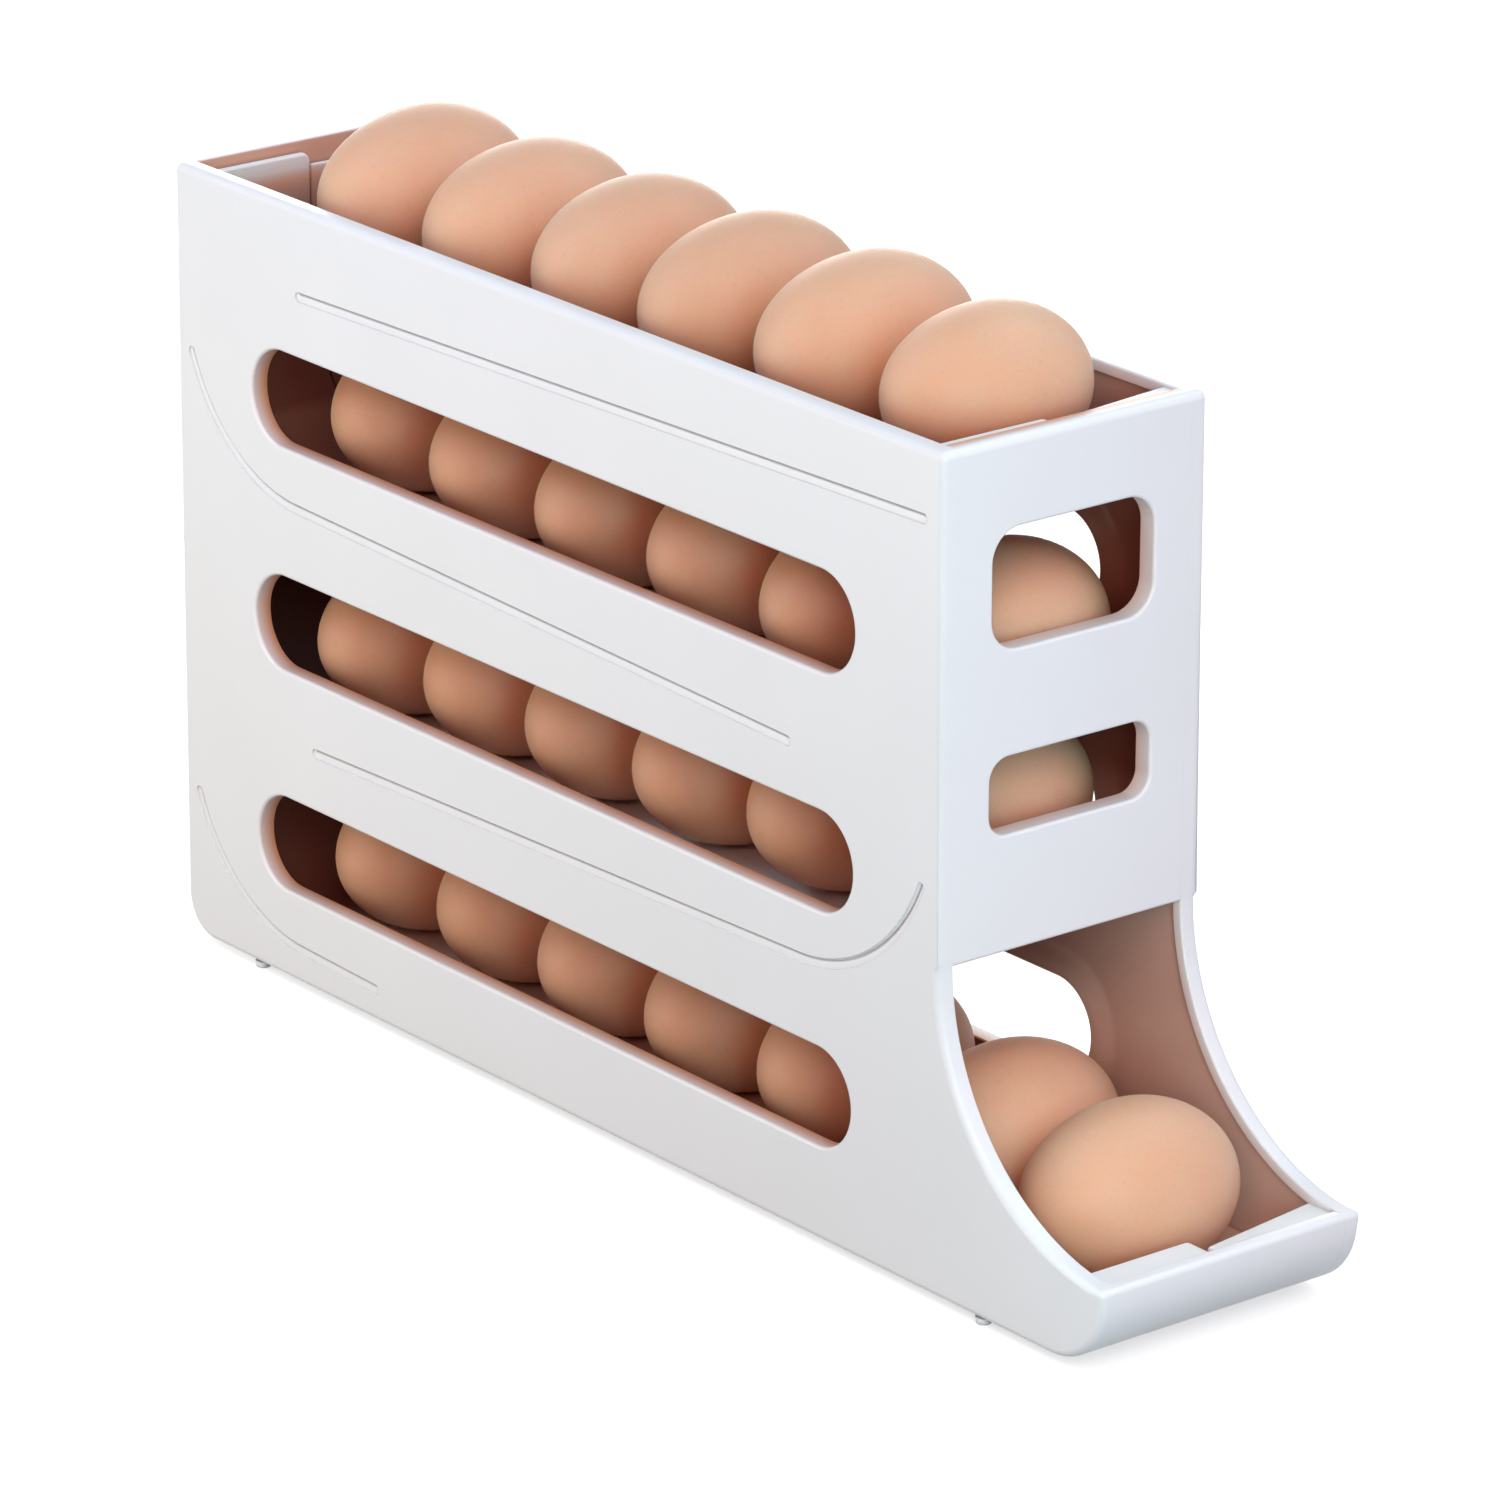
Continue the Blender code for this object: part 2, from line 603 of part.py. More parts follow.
def loft(name, outlines, edges, material, parts):
    """A solid between two lengthwise outlines of equal count, one at each X of its edges."""
    work = bmesh.new()
    rings = []
    for outline, across in zip(outlines, edges):
        rings.append([work.verts.new((across, *place(*point))) for point in outline])
    near, far = rings
    for index in range(len(near)):
        following = (index + 1) % len(near)
        work.faces.new((near[index], near[following], far[following], far[index]))
    for ring in rings:
        work.faces.new(ring)
    bmesh.ops.triangulate(work, faces=work.faces, quad_method="BEAUTY", ngon_method="EAR_CLIP")
    bmesh.ops.recalc_face_normals(work, faces=work.faces)
    mesh = bpy.data.meshes.new(name)
    work.to_mesh(mesh)
    work.free()
    finish(mesh, material)
    parts.objects.link(bpy.data.objects.new(name, mesh))


def make_tracks(label, side, material, parts):
    """One side's halves of the four tracks."""
    left = side < 0
    edges = (side * INFILL_HALF_WIDTH, LEFT_TRACK_EDGE if left else RIGHT_TRACK_EDGE)
    leans = (0, 0) if left else (1, -1)
    below_rim = TIER_2_LEFT_END_BELOW_RIM if left else TIER_2_RIGHT_END_BELOW_RIM
    tracks = []
    for stations in (tier_1_stations(), tier_2_stations(below_rim), tier_3_stations()):
        tracks.append((stations, lower_outline(stations)))
    back = wide_bend(tier_4_height, False, TIER_4_END_RISE)
    tracks.append((lip_bend()[::-1] + back, lip_lower_points() + lower_outline(back)))
    for index, (stations, under) in enumerate(tracks):
        outlines = [upper_outline(stations, lean) + under[::-1] for lean in leans]
        loft("tier_" + str(index + 1) + "_" + label + "_track", outlines, edges, material, parts)


def make_feet(material, parts):
    """Four small round pads under the lower edges of the side panels."""
    places = (("front", FRONT_FOOT_PLACE), ("back", BODY_LENGTH - BACK_FOOT_INSET))
    depth = FOOT_HEIGHT - CLEARANCE
    for end, along in places:
        for side, label in ((-1, "left"), (1, "right")):
            work = bmesh.new()
            bmesh.ops.create_cone(
                work,
                cap_ends=True,
                segments=FOOT_SIDES,
                radius1=FOOT_RADIUS - FOOT_TAPER,
                radius2=FOOT_RADIUS,
                depth=depth,
            )
            name = "foot_" + end + "_" + label
            mesh = bpy.data.meshes.new(name)
            work.to_mesh(mesh)
            work.free()
            finish(mesh, material)
            foot = bpy.data.objects.new(name, mesh)
            foot.location = (side * (WIDTH / 2 - FOOT_INSET), FRONT_FACE + along, depth / 2)
            parts.objects.link(foot)


def egg_mesh():
    """An egg lying along X about its own long axis, with its small end towards -X."""
    work = bmesh.new()
    bmesh.ops.create_uvsphere(work, u_segments=EGG_AROUND, v_segments=EGG_ALONG, radius=EGG_RADIUS)
    turn = Matrix.Rotation(math.radians(90), 3, "Y")
    bmesh.ops.rotate(work, cent=(0, 0, 0), matrix=turn, verts=work.verts)
    for vert in work.verts:
        reach = EGG_SMALL_END if vert.co.x < 0 else EGG_BIG_END
        vert.co.x *= reach / EGG_RADIUS
    mesh = bpy.data.meshes.new("egg")
    work.to_mesh(mesh)
    work.free()
    mesh.shade_smooth()
    return mesh


def egg_seat():
    """Height of an egg's axis above the left half of a track, on whose inner edge it lies."""
    offset = (EGG_WAIST_PLACE - LEFT_TRACK_EDGE) / EGG_SMALL_END
    return EGG_RADIUS * math.sqrt(1 - offset * offset) + CLEARANCE


def egg_row(start, count, height_at):
    """Places of touching eggs along one track."""
    alongs = [start + step * EGG_PITCH for step in range(count)]
    return [(along, height_at(along) + egg_seat()) for along in alongs]


def bend_egg():
    """The egg that lies in the upturned front end of the third track."""
    start = FRONT_END_FACE + TRACK_BEND_RADIUS
    middle = tier_3_height(start) + TRACK_BEND_RADIUS
    orbit = TRACK_BEND_RADIUS - egg_seat() - CLEARANCE
    run = start - BEND_EGG_PLACE
    return (BEND_EGG_PLACE, middle - math.sqrt(orbit * orbit - run * run))


def waiting_egg(below):
    """The egg that waits in the drop behind the front panel, on top of the one below it."""
    run = WAITING_EGG_PLACE - below[0]
    return (WAITING_EGG_PLACE, below[1] + math.sqrt(EGG_PITCH * EGG_PITCH - run * run))


def egg_places():
    """Each tier's egg places, counted from the front."""
    third_start = BACK_FREE_END - (MIDDLE_ROW_COUNT - 1) * EGG_PITCH
    low_egg = bend_egg()
    top_start = BACK_FREE_END - TOP_ROW_BACK_INSET - (TOP_ROW_COUNT - 1) * EGG_PITCH
    first = egg_row(top_start, TOP_ROW_COUNT, tier_1_height)
    second = [waiting_egg(low_egg)] + egg_row(SECOND_ROW_START, MIDDLE_ROW_COUNT, tier_2_height)
    third = [low_egg] + egg_row(third_start, MIDDLE_ROW_COUNT, tier_3_height)
    lowest = egg_row(MOUTH_EGG_PLACE, MOUTH_ROW_COUNT, tier_4_height)
    lowest += egg_row(LOWEST_ROW_START, LOWEST_ROW_COUNT, tier_4_height)
    return (first, second, third, lowest)


def make_eggs(material, parts):
    shared = egg_mesh()
    shared.materials.append(material)
    for tier, places in enumerate(egg_places()):
        for index, (along, height) in enumerate(places):
            name = "tier_" + str(tier + 1) + "_egg_" + str(index + 1)
            egg = bpy.data.objects.new(name, shared.copy())
            egg.location = (EGG_WAIST_PLACE, *place(along, height))
            parts.objects.link(egg)
    bpy.data.meshes.remove(shared)


def main():
    clear_scene()
    parts = make_collection("rolling_egg_dispenser")
    cutters = make_collection("cutters")
    casing = make_material("white_casing", (0.86, 0.87, 0.89), 0.35)
    track = make_material("white_track", (0.84, 0.83, 0.82), 0.45)
    pad = make_material("pale_foot_pad", (0.7, 0.7, 0.7), 0.6)
    shell = make_material("tan_eggshell", (0.74, 0.47, 0.31), 0.5)
    for label, side in (("left", -1), ("right", 1)):
        make_side_panel(label, side, casing, parts, cutters)
        make_tracks(label, side, track, parts)
    make_front_panel(casing, parts)
    make_back_panel(casing, parts)
    make_lip_panel(casing, parts)
    make_feet(pad, parts)
    make_eggs(shell, parts)


main()
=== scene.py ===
"""Rolling egg dispenser, finished.

Smooth, rounded pieces with their own materials stand in for the plain solids of
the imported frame. Everything is in metres, with +Z up and the mouth towards -Y.
"""

import json
import math
import random

import bmesh
import bpy
from bpy.props import FloatProperty, FloatVectorProperty, IntProperty, PointerProperty
from mathutils import Matrix, Vector


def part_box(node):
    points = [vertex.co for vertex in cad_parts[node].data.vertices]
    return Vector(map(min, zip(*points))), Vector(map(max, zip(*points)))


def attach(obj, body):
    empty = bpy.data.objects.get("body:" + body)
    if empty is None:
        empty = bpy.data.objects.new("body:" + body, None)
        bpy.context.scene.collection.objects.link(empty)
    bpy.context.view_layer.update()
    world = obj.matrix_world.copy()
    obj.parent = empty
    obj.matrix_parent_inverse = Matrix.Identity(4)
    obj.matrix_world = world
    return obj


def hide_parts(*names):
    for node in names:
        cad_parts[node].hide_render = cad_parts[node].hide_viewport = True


bl_info = {
    "name": "Rolling egg dispenser",
    "version": (1, 0, 0),
    "blender": (4, 5, 0),
    "location": "View3D > Sidebar > Egg dispenser",
    "description": "Finished pieces, materials and stage of a rolling egg dispenser",
    "category": "Object",
}

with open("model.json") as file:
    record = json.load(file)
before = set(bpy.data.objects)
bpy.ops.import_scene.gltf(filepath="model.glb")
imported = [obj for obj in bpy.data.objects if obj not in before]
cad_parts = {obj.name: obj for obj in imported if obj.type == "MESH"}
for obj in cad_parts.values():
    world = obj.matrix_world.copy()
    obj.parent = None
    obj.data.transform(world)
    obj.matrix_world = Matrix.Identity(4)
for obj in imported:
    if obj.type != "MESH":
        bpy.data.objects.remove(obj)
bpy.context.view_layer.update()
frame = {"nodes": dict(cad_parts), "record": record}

MM = 0.001
ROUND_STEPS = 5
SMALL_ROUND_STEPS = 3

# The shade layer sets painted shade and painted bounce light in the colour: 0 outside and 1
# inside, and more where no light reaches
SHADE_LAYER = "inner_shade"
RIM_SHADE = 0.1
FRONT_REVEAL_SHADE = 0.25
REVEAL_SHADE = 0.6
UNLIT_SHADE = 2

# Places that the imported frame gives
PANEL_LOW, PANEL_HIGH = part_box("left_side_panel")
FRONT_LOW, FRONT_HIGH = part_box("front_panel")
BACK_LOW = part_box("back_panel")[0]
LIP_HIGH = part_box("lip_panel")[1]
HALF_WIDTH = -PANEL_LOW.x
BASE = PANEL_LOW.z
TOP = PANEL_HIGH.z
LIP_FACE = PANEL_LOW.y
BACK_FACE = PANEL_HIGH.y
FRONT_FACE = FRONT_LOW.y
LIP_TOP = LIP_HIGH.z
BODY_HEIGHT = TOP - BASE
BODY_LENGTH = BACK_FACE - FRONT_FACE
CASING_BODY = "casing"


def length(name, description, default):
    return FloatProperty(name=name, description=description, default=default, unit="LENGTH")


def colour(name, description, default):
    return FloatVectorProperty(
        name=name, description=description, default=default, subtype="COLOR", min=0, max=1
    )


class CasingSizes(bpy.types.PropertyGroup):
    """Sizes of the casing's panels."""

    side_wall: length("Side wall", "Thickness of a side panel", 3 * MM)
    rim_depth: length("Rim depth", "How far the rim stands inwards", 2 * MM)
    rim_width: length("Rim width", "Height of the rim band", 3 * MM)
    outer_round: length("Outer rounding", "Rounding of the outer edges", 1.9 * MM)
    inner_round: length("Inner rounding", "Rounding of the rim's inner edge", 0.6 * MM)
    corner_round: length("Top corner", "Profile radius of the top corners", 2.2 * MM)
    lip_round: length("Lip corner", "Profile radius of the lip's edge", 1.5 * MM)
    mouth_radius: length("Mouth radius", "Radius of the scooped mouth", 62 * MM)
    toe_radius: length("Toe radius", "Radius of the round toe", 18.5 * MM)
    heel_radius: length("Heel radius", "Radius of the round heel", 11 * MM)
    window_height: length("Window height", "Height of a side window", 25.3 * MM)
    window_front_inset: length("Window front inset", "Front face to side window", 31.6 * MM)
    window_back_inset: length("Window back inset", "Back face to side window", 32.6 * MM)
    window_round: length("Window edge", "Rounding of the windows' outer edges", 0.9 * MM)
    collar_depth: length("Collar depth", "Extra wall thickness round a side window", 2 * MM)
    collar_width: length("Collar width", "Reach of the thicker wall round a side window", 8 * MM)
    line_width: length("Pressed line width", "Width of a pressed line", 2.8 * MM)
    line_depth: length("Pressed line depth", "Depth of a pressed line", 1.4 * MM)


class TrackSizes(bpy.types.PropertyGroup):
    """Sizes of the tracks' finish."""

    edge_round: length("Edge rounding", "Rounding of the slot edges", 0.6 * MM)
    tip_round: length("Tip rounding", "Rounding of the free ends", 0.9 * MM)
    corner_radius: length("Tip corner", "Corner radius of the left halves' ends", 2.5 * MM)
    corner_reach: length("Corner reach", "Height over which a tip corner is taken down", 8 * MM)
    wall_gap: length("Wall gap", "From a track to the side panel's inner face", 0.1 * MM)


class EggSizes(bpy.types.PropertyGroup):
    """Sizes of the eggs."""

    small_end: length("Small end", "From the waist to the small end", 32 * MM)
    length_spread: length("Length spread", "How much the eggs' ends differ", 1.2 * MM)
    front_egg_share: FloatProperty(
        name="Front egg share", description="Size of the top row's front egg against the others",
        default=0.94, subtype="FACTOR",
    )
    around: IntProperty(name="Around", description="Faces round an egg", default=64, min=16)
    along: IntProperty(name="Along", description="Faces along an egg", default=40, min=12)


class Finishes(bpy.types.PropertyGroup):
    """Colours of the materials, with the painted shade and painted bounce light of the inside."""

    casing_colour: colour("Casing", "White of the outside", (0.825, 0.795, 0.803))
    # The mouth, bounce and deep colours are painted shade and painted bounce light inside the
    # casing, not the plastic's own colour
    mouth_colour: colour("Mouth inside", "Warm shade of the mouth's walls", (0.66, 0.42, 0.34))
    glow_colour: colour("Bounce", "Light that the eggs throw back inside", (0.66, 0.33, 0.20))
    deep_colour: colour("Deep inside", "Dark warm shade deep inside", (0.19, 0.055, 0.034))
    track_colour: colour("Tracks", "White of the tracks", (0.80, 0.79, 0.78))
    foot_colour: colour("Feet", "White of the foot pads", (0.92, 0.92, 0.92))
    shell_colour: colour("Eggshell", "Tan of the eggshell", (0.70, 0.385, 0.235))
    shell_pale_colour: colour("Pale eggshell", "Paler patches of the shell", (0.76, 0.465, 0.31))
    # A darker, redder tint for the eggs behind the windows: painted shade
    inner_shell_share: colour("Inner eggs", "Tint of eggs behind windows", (0.85, 0.72, 0.68))


class StageValues(bpy.types.PropertyGroup):
    """Light and camera."""

    ambient: FloatProperty(
        name="Ambient light", description="Strength of the soft light", default=0.16, min=0
    )
    floor_half_size: length("Floor half size", "Half the side of the floor", 8.0)
    focal_length: FloatProperty(
        name="Focal length", description="In millimetres, on a 36 mm sensor", default=203.978
    )


def casing_sizes():
    return bpy.context.scene.egg_casing


def track_sizes():
    return bpy.context.scene.egg_tracks


def egg_sizes():
    return bpy.context.scene.egg_eggs


def finishes():
    return bpy.context.scene.egg_finishes


def stage_values():
    return bpy.context.scene.egg_stage


# Flat outlines


def around(items):
    """Each item of a closed row with the next one."""
    return zip(items, items[1:] + items[:1])


def arc(centre, radius, start, end, steps):
    """Points along an arc, with its angles in degrees."""
    points = []
    for step in range(steps + 1):
        angle = math.radians(start + (end - start) * step / steps)
        across = centre[0] + radius * math.cos(angle)
        points.append(Vector((across, centre[1] + radius * math.sin(angle))))
    return points


def without_repeats(points):
    kept = []
    for point in points:
        if not kept or (point - kept[-1]).length > 0.01 * MM:
            kept.append(point)
    if (kept[0] - kept[-1]).length < 0.01 * MM:
        kept.pop()
    return kept


def slot_outline(centre, width, height, corner, steps):
    """A closed outline with round corners."""
    across = width / 2 - corner
    up = height / 2 - corner
    points = []
    for quarter, (side, level) in enumerate(((1, 1), (-1, 1), (-1, -1), (1, -1))):
        middle = (centre[0] + side * across, centre[1] + level * up)
        points += arc(middle, corner, 90 * quarter, 90 * quarter + 90, steps)
    return without_repeats(points)


def inset(points, distances):
    """A counter-clockwise outline moved inwards by a distance, or by one for each point."""
    if not isinstance(distances, list):
        distances = [distances] * len(points)
    normals = []
    for point, following in around(points):
        way = (following - point).normalized()
        normals.append(Vector((-way.y, way.x)))
    moved = []
    for index, point in enumerate(points):
        both = normals[index - 1] + normals[index]
        spread = max(0.5, 1 + normals[index - 1].dot(normals[index]))
        moved.append(point + both * distances[index] / spread)
    return moved


def quarter_round(radius, steps):
    """Pairs of inset and depth for an edge rounding that starts on the flat face."""
    angles = [math.radians(90 * step / steps) for step in range(steps + 1)]
    return [(radius * (1 - math.sin(angle)), radius * (1 - math.cos(angle))) for angle in angles]


def soft_corners(points, largest, corners, steps):
    """The closed outline with an arc at each listed corner, smaller where an edge is short."""
    result = []
    for index, (point, following) in enumerate(around(points)):
        if index not in corners:
            result.append(point)
            continue
        back = points[index - 1] - point
        forward = following - point
        half = back.angle(forward) / 2
        radius = min(largest, 0.47 * min(back.length, forward.length) * math.tan(half))
        back.normalize()
        forward.normalize()
        centre = point + (back + forward).normalized() * radius / math.sin(half)
        first = point + back * radius / math.tan(half) - centre
        last = point + forward * radius / math.tan(half) - centre
        turn = first.angle_signed(last)
        for step in range(steps + 1):
            spin = Matrix.Rotation(-turn * step / steps, 2)
            result.append(centre + spin @ first)
    return result


def sharp_corners(points, limit):
    """Indices of the points where a closed outline turns by more than a limit, in degrees."""
    steps = [following - point for point, following in around(points)]
    turns = [steps[index - 1].angle(steps[index]) for index in range(len(points))]
    return [index for index, turn in enumerate(turns) if turn > math.radians(limit)]


def placed(name, data):
    """A new object in the scene."""
    thing = bpy.data.objects.new(name, data)
    bpy.context.scene.collection.objects.link(thing)
    return thing


class Shell:
    """Gathers rings of points, and the faces between them, into one closed mesh."""

    def __init__(self):
        self.work = bmesh.new()
        self.shade = self.work.verts.layers.float.new(SHADE_LAYER)

    def ring(self, points, shades=0.0):
        """Points with one shade for all of them, or with a list of shades."""
        verts = [self.work.verts.new(point) for point in points]
        for index, vert in enumerate(verts):
            vert[self.shade] = shades[index] if isinstance(shades, list) else shades
        return verts

    def strips(self, rings):
        """Quads between each closed ring and the next, which has as many points."""
        for first, second in zip(rings, rings[1:]):
            for (a, b), (c, d) in zip(around(first), around(second)):
                self.work.faces.new((a, b, d, c))

    def fill(self, rings, normal):
        """A flat face with one outer ring and any holes."""
        known = self.work.edges
        pairs = [pair for ring in rings for pair in around(ring)]
        edges = [known.get(pair) or known.new(pair) for pair in pairs]
        bmesh.ops.triangle_fill(
            self.work, use_beauty=True, use_dissolve=False, edges=edges, normal=normal
        )

    def finish(self, name, material):
        bmesh.ops.recalc_face_normals(self.work, faces=self.work.faces)
        mesh = bpy.data.meshes.new(name)
        self.work.to_mesh(mesh)
        self.work.free()
        mesh.materials.append(material)
        mesh.shade_smooth()
        mesh.set_sharp_from_angle(angle=math.radians(50))
        piece = placed(name, mesh)
        piece.modifiers.new("flat_faces", "WEIGHTED_NORMAL").keep_sharp = True
        return piece


def stand_for(piece, node, body):
    """The piece takes the place of one node of the frame."""
    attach(piece, body)
    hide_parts(node)


# Casing outlines, in Y and Z


def ramp(value, low, high):
    """0 at low, 1 at high, and in between them in step with the value."""
    return min(1.0, max(0.0, (value - low) / (high - low)))


def mouth_centre():
    radius = casing_sizes().mouth_radius
    return Vector((FRONT_FACE - radius, LIP_TOP + radius))


def lip_corner():
    """Centre of the lip's edge rounding, and where it meets the scooped mouth, in degrees."""
    sizes = casing_sizes()
    centre = mouth_centre()
    along = LIP_FACE + sizes.lip_round
    reach = sizes.mouth_radius + sizes.lip_round
    level = centre.y - math.sqrt(reach * reach - (along - centre.x) ** 2)
    angle = math.degrees(math.atan2(level - centre.y, along - centre.x))
    return Vector((along, level)), angle


def toe_centre():
    sizes = casing_sizes()
    return Vector((LIP_FACE + sizes.toe_radius, BASE + sizes.toe_radius))


def casing_outline():
    """The side panel's outline, counter-clockwise from its top back corner."""
    sizes = casing_sizes()
    round_top = sizes.corner_round
    points = arc((BACK_FACE - round_top, TOP - round_top), round_top, 0, 90, 6)
    for along in (BACK_LOW.y, BACK_LOW.y - MM, FRONT_HIGH.y + MM, FRONT_HIGH.y):
        points.append(Vector((along, TOP)))
    points += arc((FRONT_FACE + round_top, TOP - round_top), round_top, 90, 180, 6)
    points.append(Vector((FRONT_FACE, FRONT_LOW.z + MM)))
    lip, mouth_end = lip_corner()
    points += arc(mouth_centre(), sizes.mouth_radius, 0, mouth_end, 64)
    points += arc(lip, sizes.lip_round, mouth_end + 180, 180, 6)
    points += arc(toe_centre(), sizes.toe_radius, 180, 270, 24)
    heel = (BACK_FACE - sizes.heel_radius, BASE + sizes.heel_radius)
    points += arc(heel, sizes.heel_radius, 270, 360, 16)
    return without_repeats(points)


def pocket_outline():
    """The edge of the recess inside the side panel's rim."""
    sizes = casing_sizes()
    width = sizes.rim_width
    centre = mouth_centre()
    radius = sizes.mouth_radius + width
    lip_angle = -math.degrees(math.acos((LIP_FACE + width - centre.x) / radius))
    corner = MM
    points = arc((BACK_FACE - width - corner, TOP - width - corner), corner, 0, 90, 4)
    points += arc((FRONT_FACE + width + corner, TOP - width - corner), corner, 90, 180, 4)
    points += arc(centre, radius, 0, lip_angle, 48)
    points += arc(toe_centre(), sizes.toe_radius - width, 190, 270, 16)
    heel = (BACK_FACE - sizes.heel_radius, BASE + sizes.heel_radius)
    points += arc(heel, sizes.heel_radius - width, 270, 360, 10)
    return without_repeats(points)


LIP_WALL = 4.6 * MM


def joins_a_wall(point):
    """Whether the rim meets another panel here, where its inner edge stays square."""
    in_front = point.x < FRONT_HIGH.y and point.y > FRONT_LOW.z
    in_back = point.x > BACK_LOW.y and point.y > BACK_LOW.z
    in_lip = point.x < min(LIP_HIGH.y, LIP_FACE + LIP_WALL) and point.y < LIP_TOP + MM
    under_lip = point.x < toe_centre().x and point.y < LIP_TOP - 4 * MM
    return in_front or in_back or in_lip or under_lip


def outer_radii(outline):
    """The outer rounding at each point, which tightens towards the lip's corner."""
    sizes = casing_sizes()
    lip, _angle = lip_corner()
    tight = 0.9 * sizes.lip_round
    radii = []
    for point in outline:
        away = max(0.0, (point - lip).length - sizes.lip_round)
        radii.append(min(sizes.outer_round, tight + 0.3 * away))
    return radii


def inner_radii(outline):
    square = 0.02 * MM
    return [square if joins_a_wall(point) else casing_sizes().inner_round for point in outline]


WINDOW_LEVEL_SHARES = (0.1764, 0.4635, 0.7505)


def window_outlines():
    sizes = casing_sizes()
    low = FRONT_FACE + sizes.window_front_inset
    high = BACK_FACE - sizes.window_back_inset
    height = sizes.window_height
    outlines = []
    for share in WINDOW_LEVEL_SHARES:
        centre = ((low + high) / 2, BASE + share * BODY_HEIGHT)
        outlines.append(slot_outline(centre, high - low, height, height / 2, 20))
    return outlines


# Pressed lines: each has a straight run, and all but the top one bend up at one end
LINE_BEND_RADIUS = 50.0 * MM
LINE_BEND_TURN = 67.5
LINE_END_INSET = 6.4 * MM
LINE_BEND_STEPS = 20


def line_point(front_inset, level):
    return Vector((FRONT_FACE + front_inset, BASE + level))


def bent_line(straight_end, bend_start, to_back):
    """A straight run and then a bend that turns up."""
    turn = LINE_BEND_TURN if to_back else -LINE_BEND_TURN
    centre = bend_start + Vector((0, LINE_BEND_RADIUS))
    return [straight_end] + arc(centre, LINE_BEND_RADIUS, 270, 270 + turn, LINE_BEND_STEPS)


def pressed_lines():
    bend_run = LINE_END_INSET + LINE_BEND_RADIUS * math.sin(math.radians(LINE_BEND_TURN))
    back_bend = BODY_LENGTH - bend_run
    return (
        [line_point(6.8 * MM, 190.8 * MM), line_point(251.6 * MM, 184.8 * MM)],
        bent_line(line_point(56.0 * MM, 123.0 * MM), line_point(back_bend, 128.5 * MM), True),
        bent_line(line_point(246.9 * MM, 65.0 * MM), line_point(bend_run, 70.0 * MM), False),
        bent_line(line_point(222.0 * MM, 8.5 * MM), line_point(back_bend, 9.3 * MM), True),
    )


def line_ring(path, half_width):
    """The closed outline at one distance round a path, with round ends."""
    left = []
    right = []
    for index, point in enumerate(path):
        before = path[max(index - 1, 0)]
        after = path[min(index + 1, len(path) - 1)]
        along = (after - before).normalized()
        normal = Vector((-along.y, along.x))
        left.append(point + normal * half_width)
        right.append(point - normal * half_width)
    start = math.degrees(math.atan2(*(left[0] - path[0]).yx))
    end = math.degrees(math.atan2(*(right[-1] - path[-1]).yx))
    start_tip = arc(path[0], half_width, start, start + 180, 8)[1:-1]
    end_tip = arc(path[-1], half_width, end, end + 180, 8)[1:-1]
    return start_tip + right + end_tip + left[::-1]


COLLAR_STEPS = 6

# Half width and lift as shares of the line's width, and depth as a share of its depth
LINE_STEPS = (
    (0.500, 0, 0), (0.486, 0, 0.08), (0.457, 0, 0.32),
    (0.160, 0.250, 0.38), (0.110, 0.300, 0.46), (0.070, 0.340, 0.78),
)


def add_pressed_line(shell, path, stand):
    """A shallow band with a narrow slot along its upper edge. Gives back its rim."""
    sizes = casing_sizes()
    rings = []
    for half_share, lift_share, depth_share in LINE_STEPS:
        raised = [point + Vector((0, lift_share * sizes.line_width)) for point in path]
        points = line_ring(raised, half_share * sizes.line_width)
        depth = depth_share * sizes.line_depth
        rings.append(shell.ring([stand(point, depth) for point in points]))
    shell.strips(rings)
    shell.fill([rings[-1]], (1, 0, 0))
    return rings[0]


def add_window(shell, outline, stand, wall, outer_round, reveal_shade, collar=(0, 0)):
    """The rounded edge and the reveal of one window, with any swelling of the wall behind it.

    Gives back its outer and inner rings."""
    back_round = 0.35 * MM
    width, height = collar
    wall += height
    steps = []
    # The reveal's painted shade deepens with depth, and the inner ring and the collar take full
    # painted shade
    for outwards, depth in quarter_round(outer_round, ROUND_STEPS):
        steps.append((outwards, depth, reveal_shade * depth / wall))
    for outwards, depth in quarter_round(back_round, SMALL_ROUND_STEPS)[::-1]:
        steps.append((outwards, wall - depth, reveal_shade))
    steps.append((1.5 * back_round, wall, 1))
    for step in range(1, COLLAR_STEPS + 1 if width else 1):
        share = step / COLLAR_STEPS
        steps.append((width * share, wall - height * (1 - math.cos(math.pi * share)) / 2, 1))
    rings = []
    for outwards, depth, shade in steps:
        points = inset(outline, -outwards)
        rings.append(shell.ring([stand(point, depth) for point in points], shade))
    shell.strips(rings)
    return rings[0], rings[-1]


LEDGE_HEIGHT = 1.6 * MM
LEDGE_REACH = 4.0 * MM


def add_ledge(shell, start, end, stand):
    """A rib under a track. Gives back the ring where it leaves the wall."""
    wall = casing_sizes().side_wall
    along = (end - start).normalized()
    down = Vector((along.y, -along.x)) * LEDGE_HEIGHT
    outline = soft_corners([start, start + down, end + down, end], 0.4 * MM, range(4), 3)
    # The ledge takes full painted shade
    root = shell.ring([stand(point, wall) for point in outline], 1)
    tip = shell.ring([stand(point, wall + LEDGE_REACH) for point in outline], 1)
    shell.strips([root, tip])
    shell.fill([tip], (1, 0, 0))
    return root


FLOOR_EDGE_LIMIT = 60 * MM


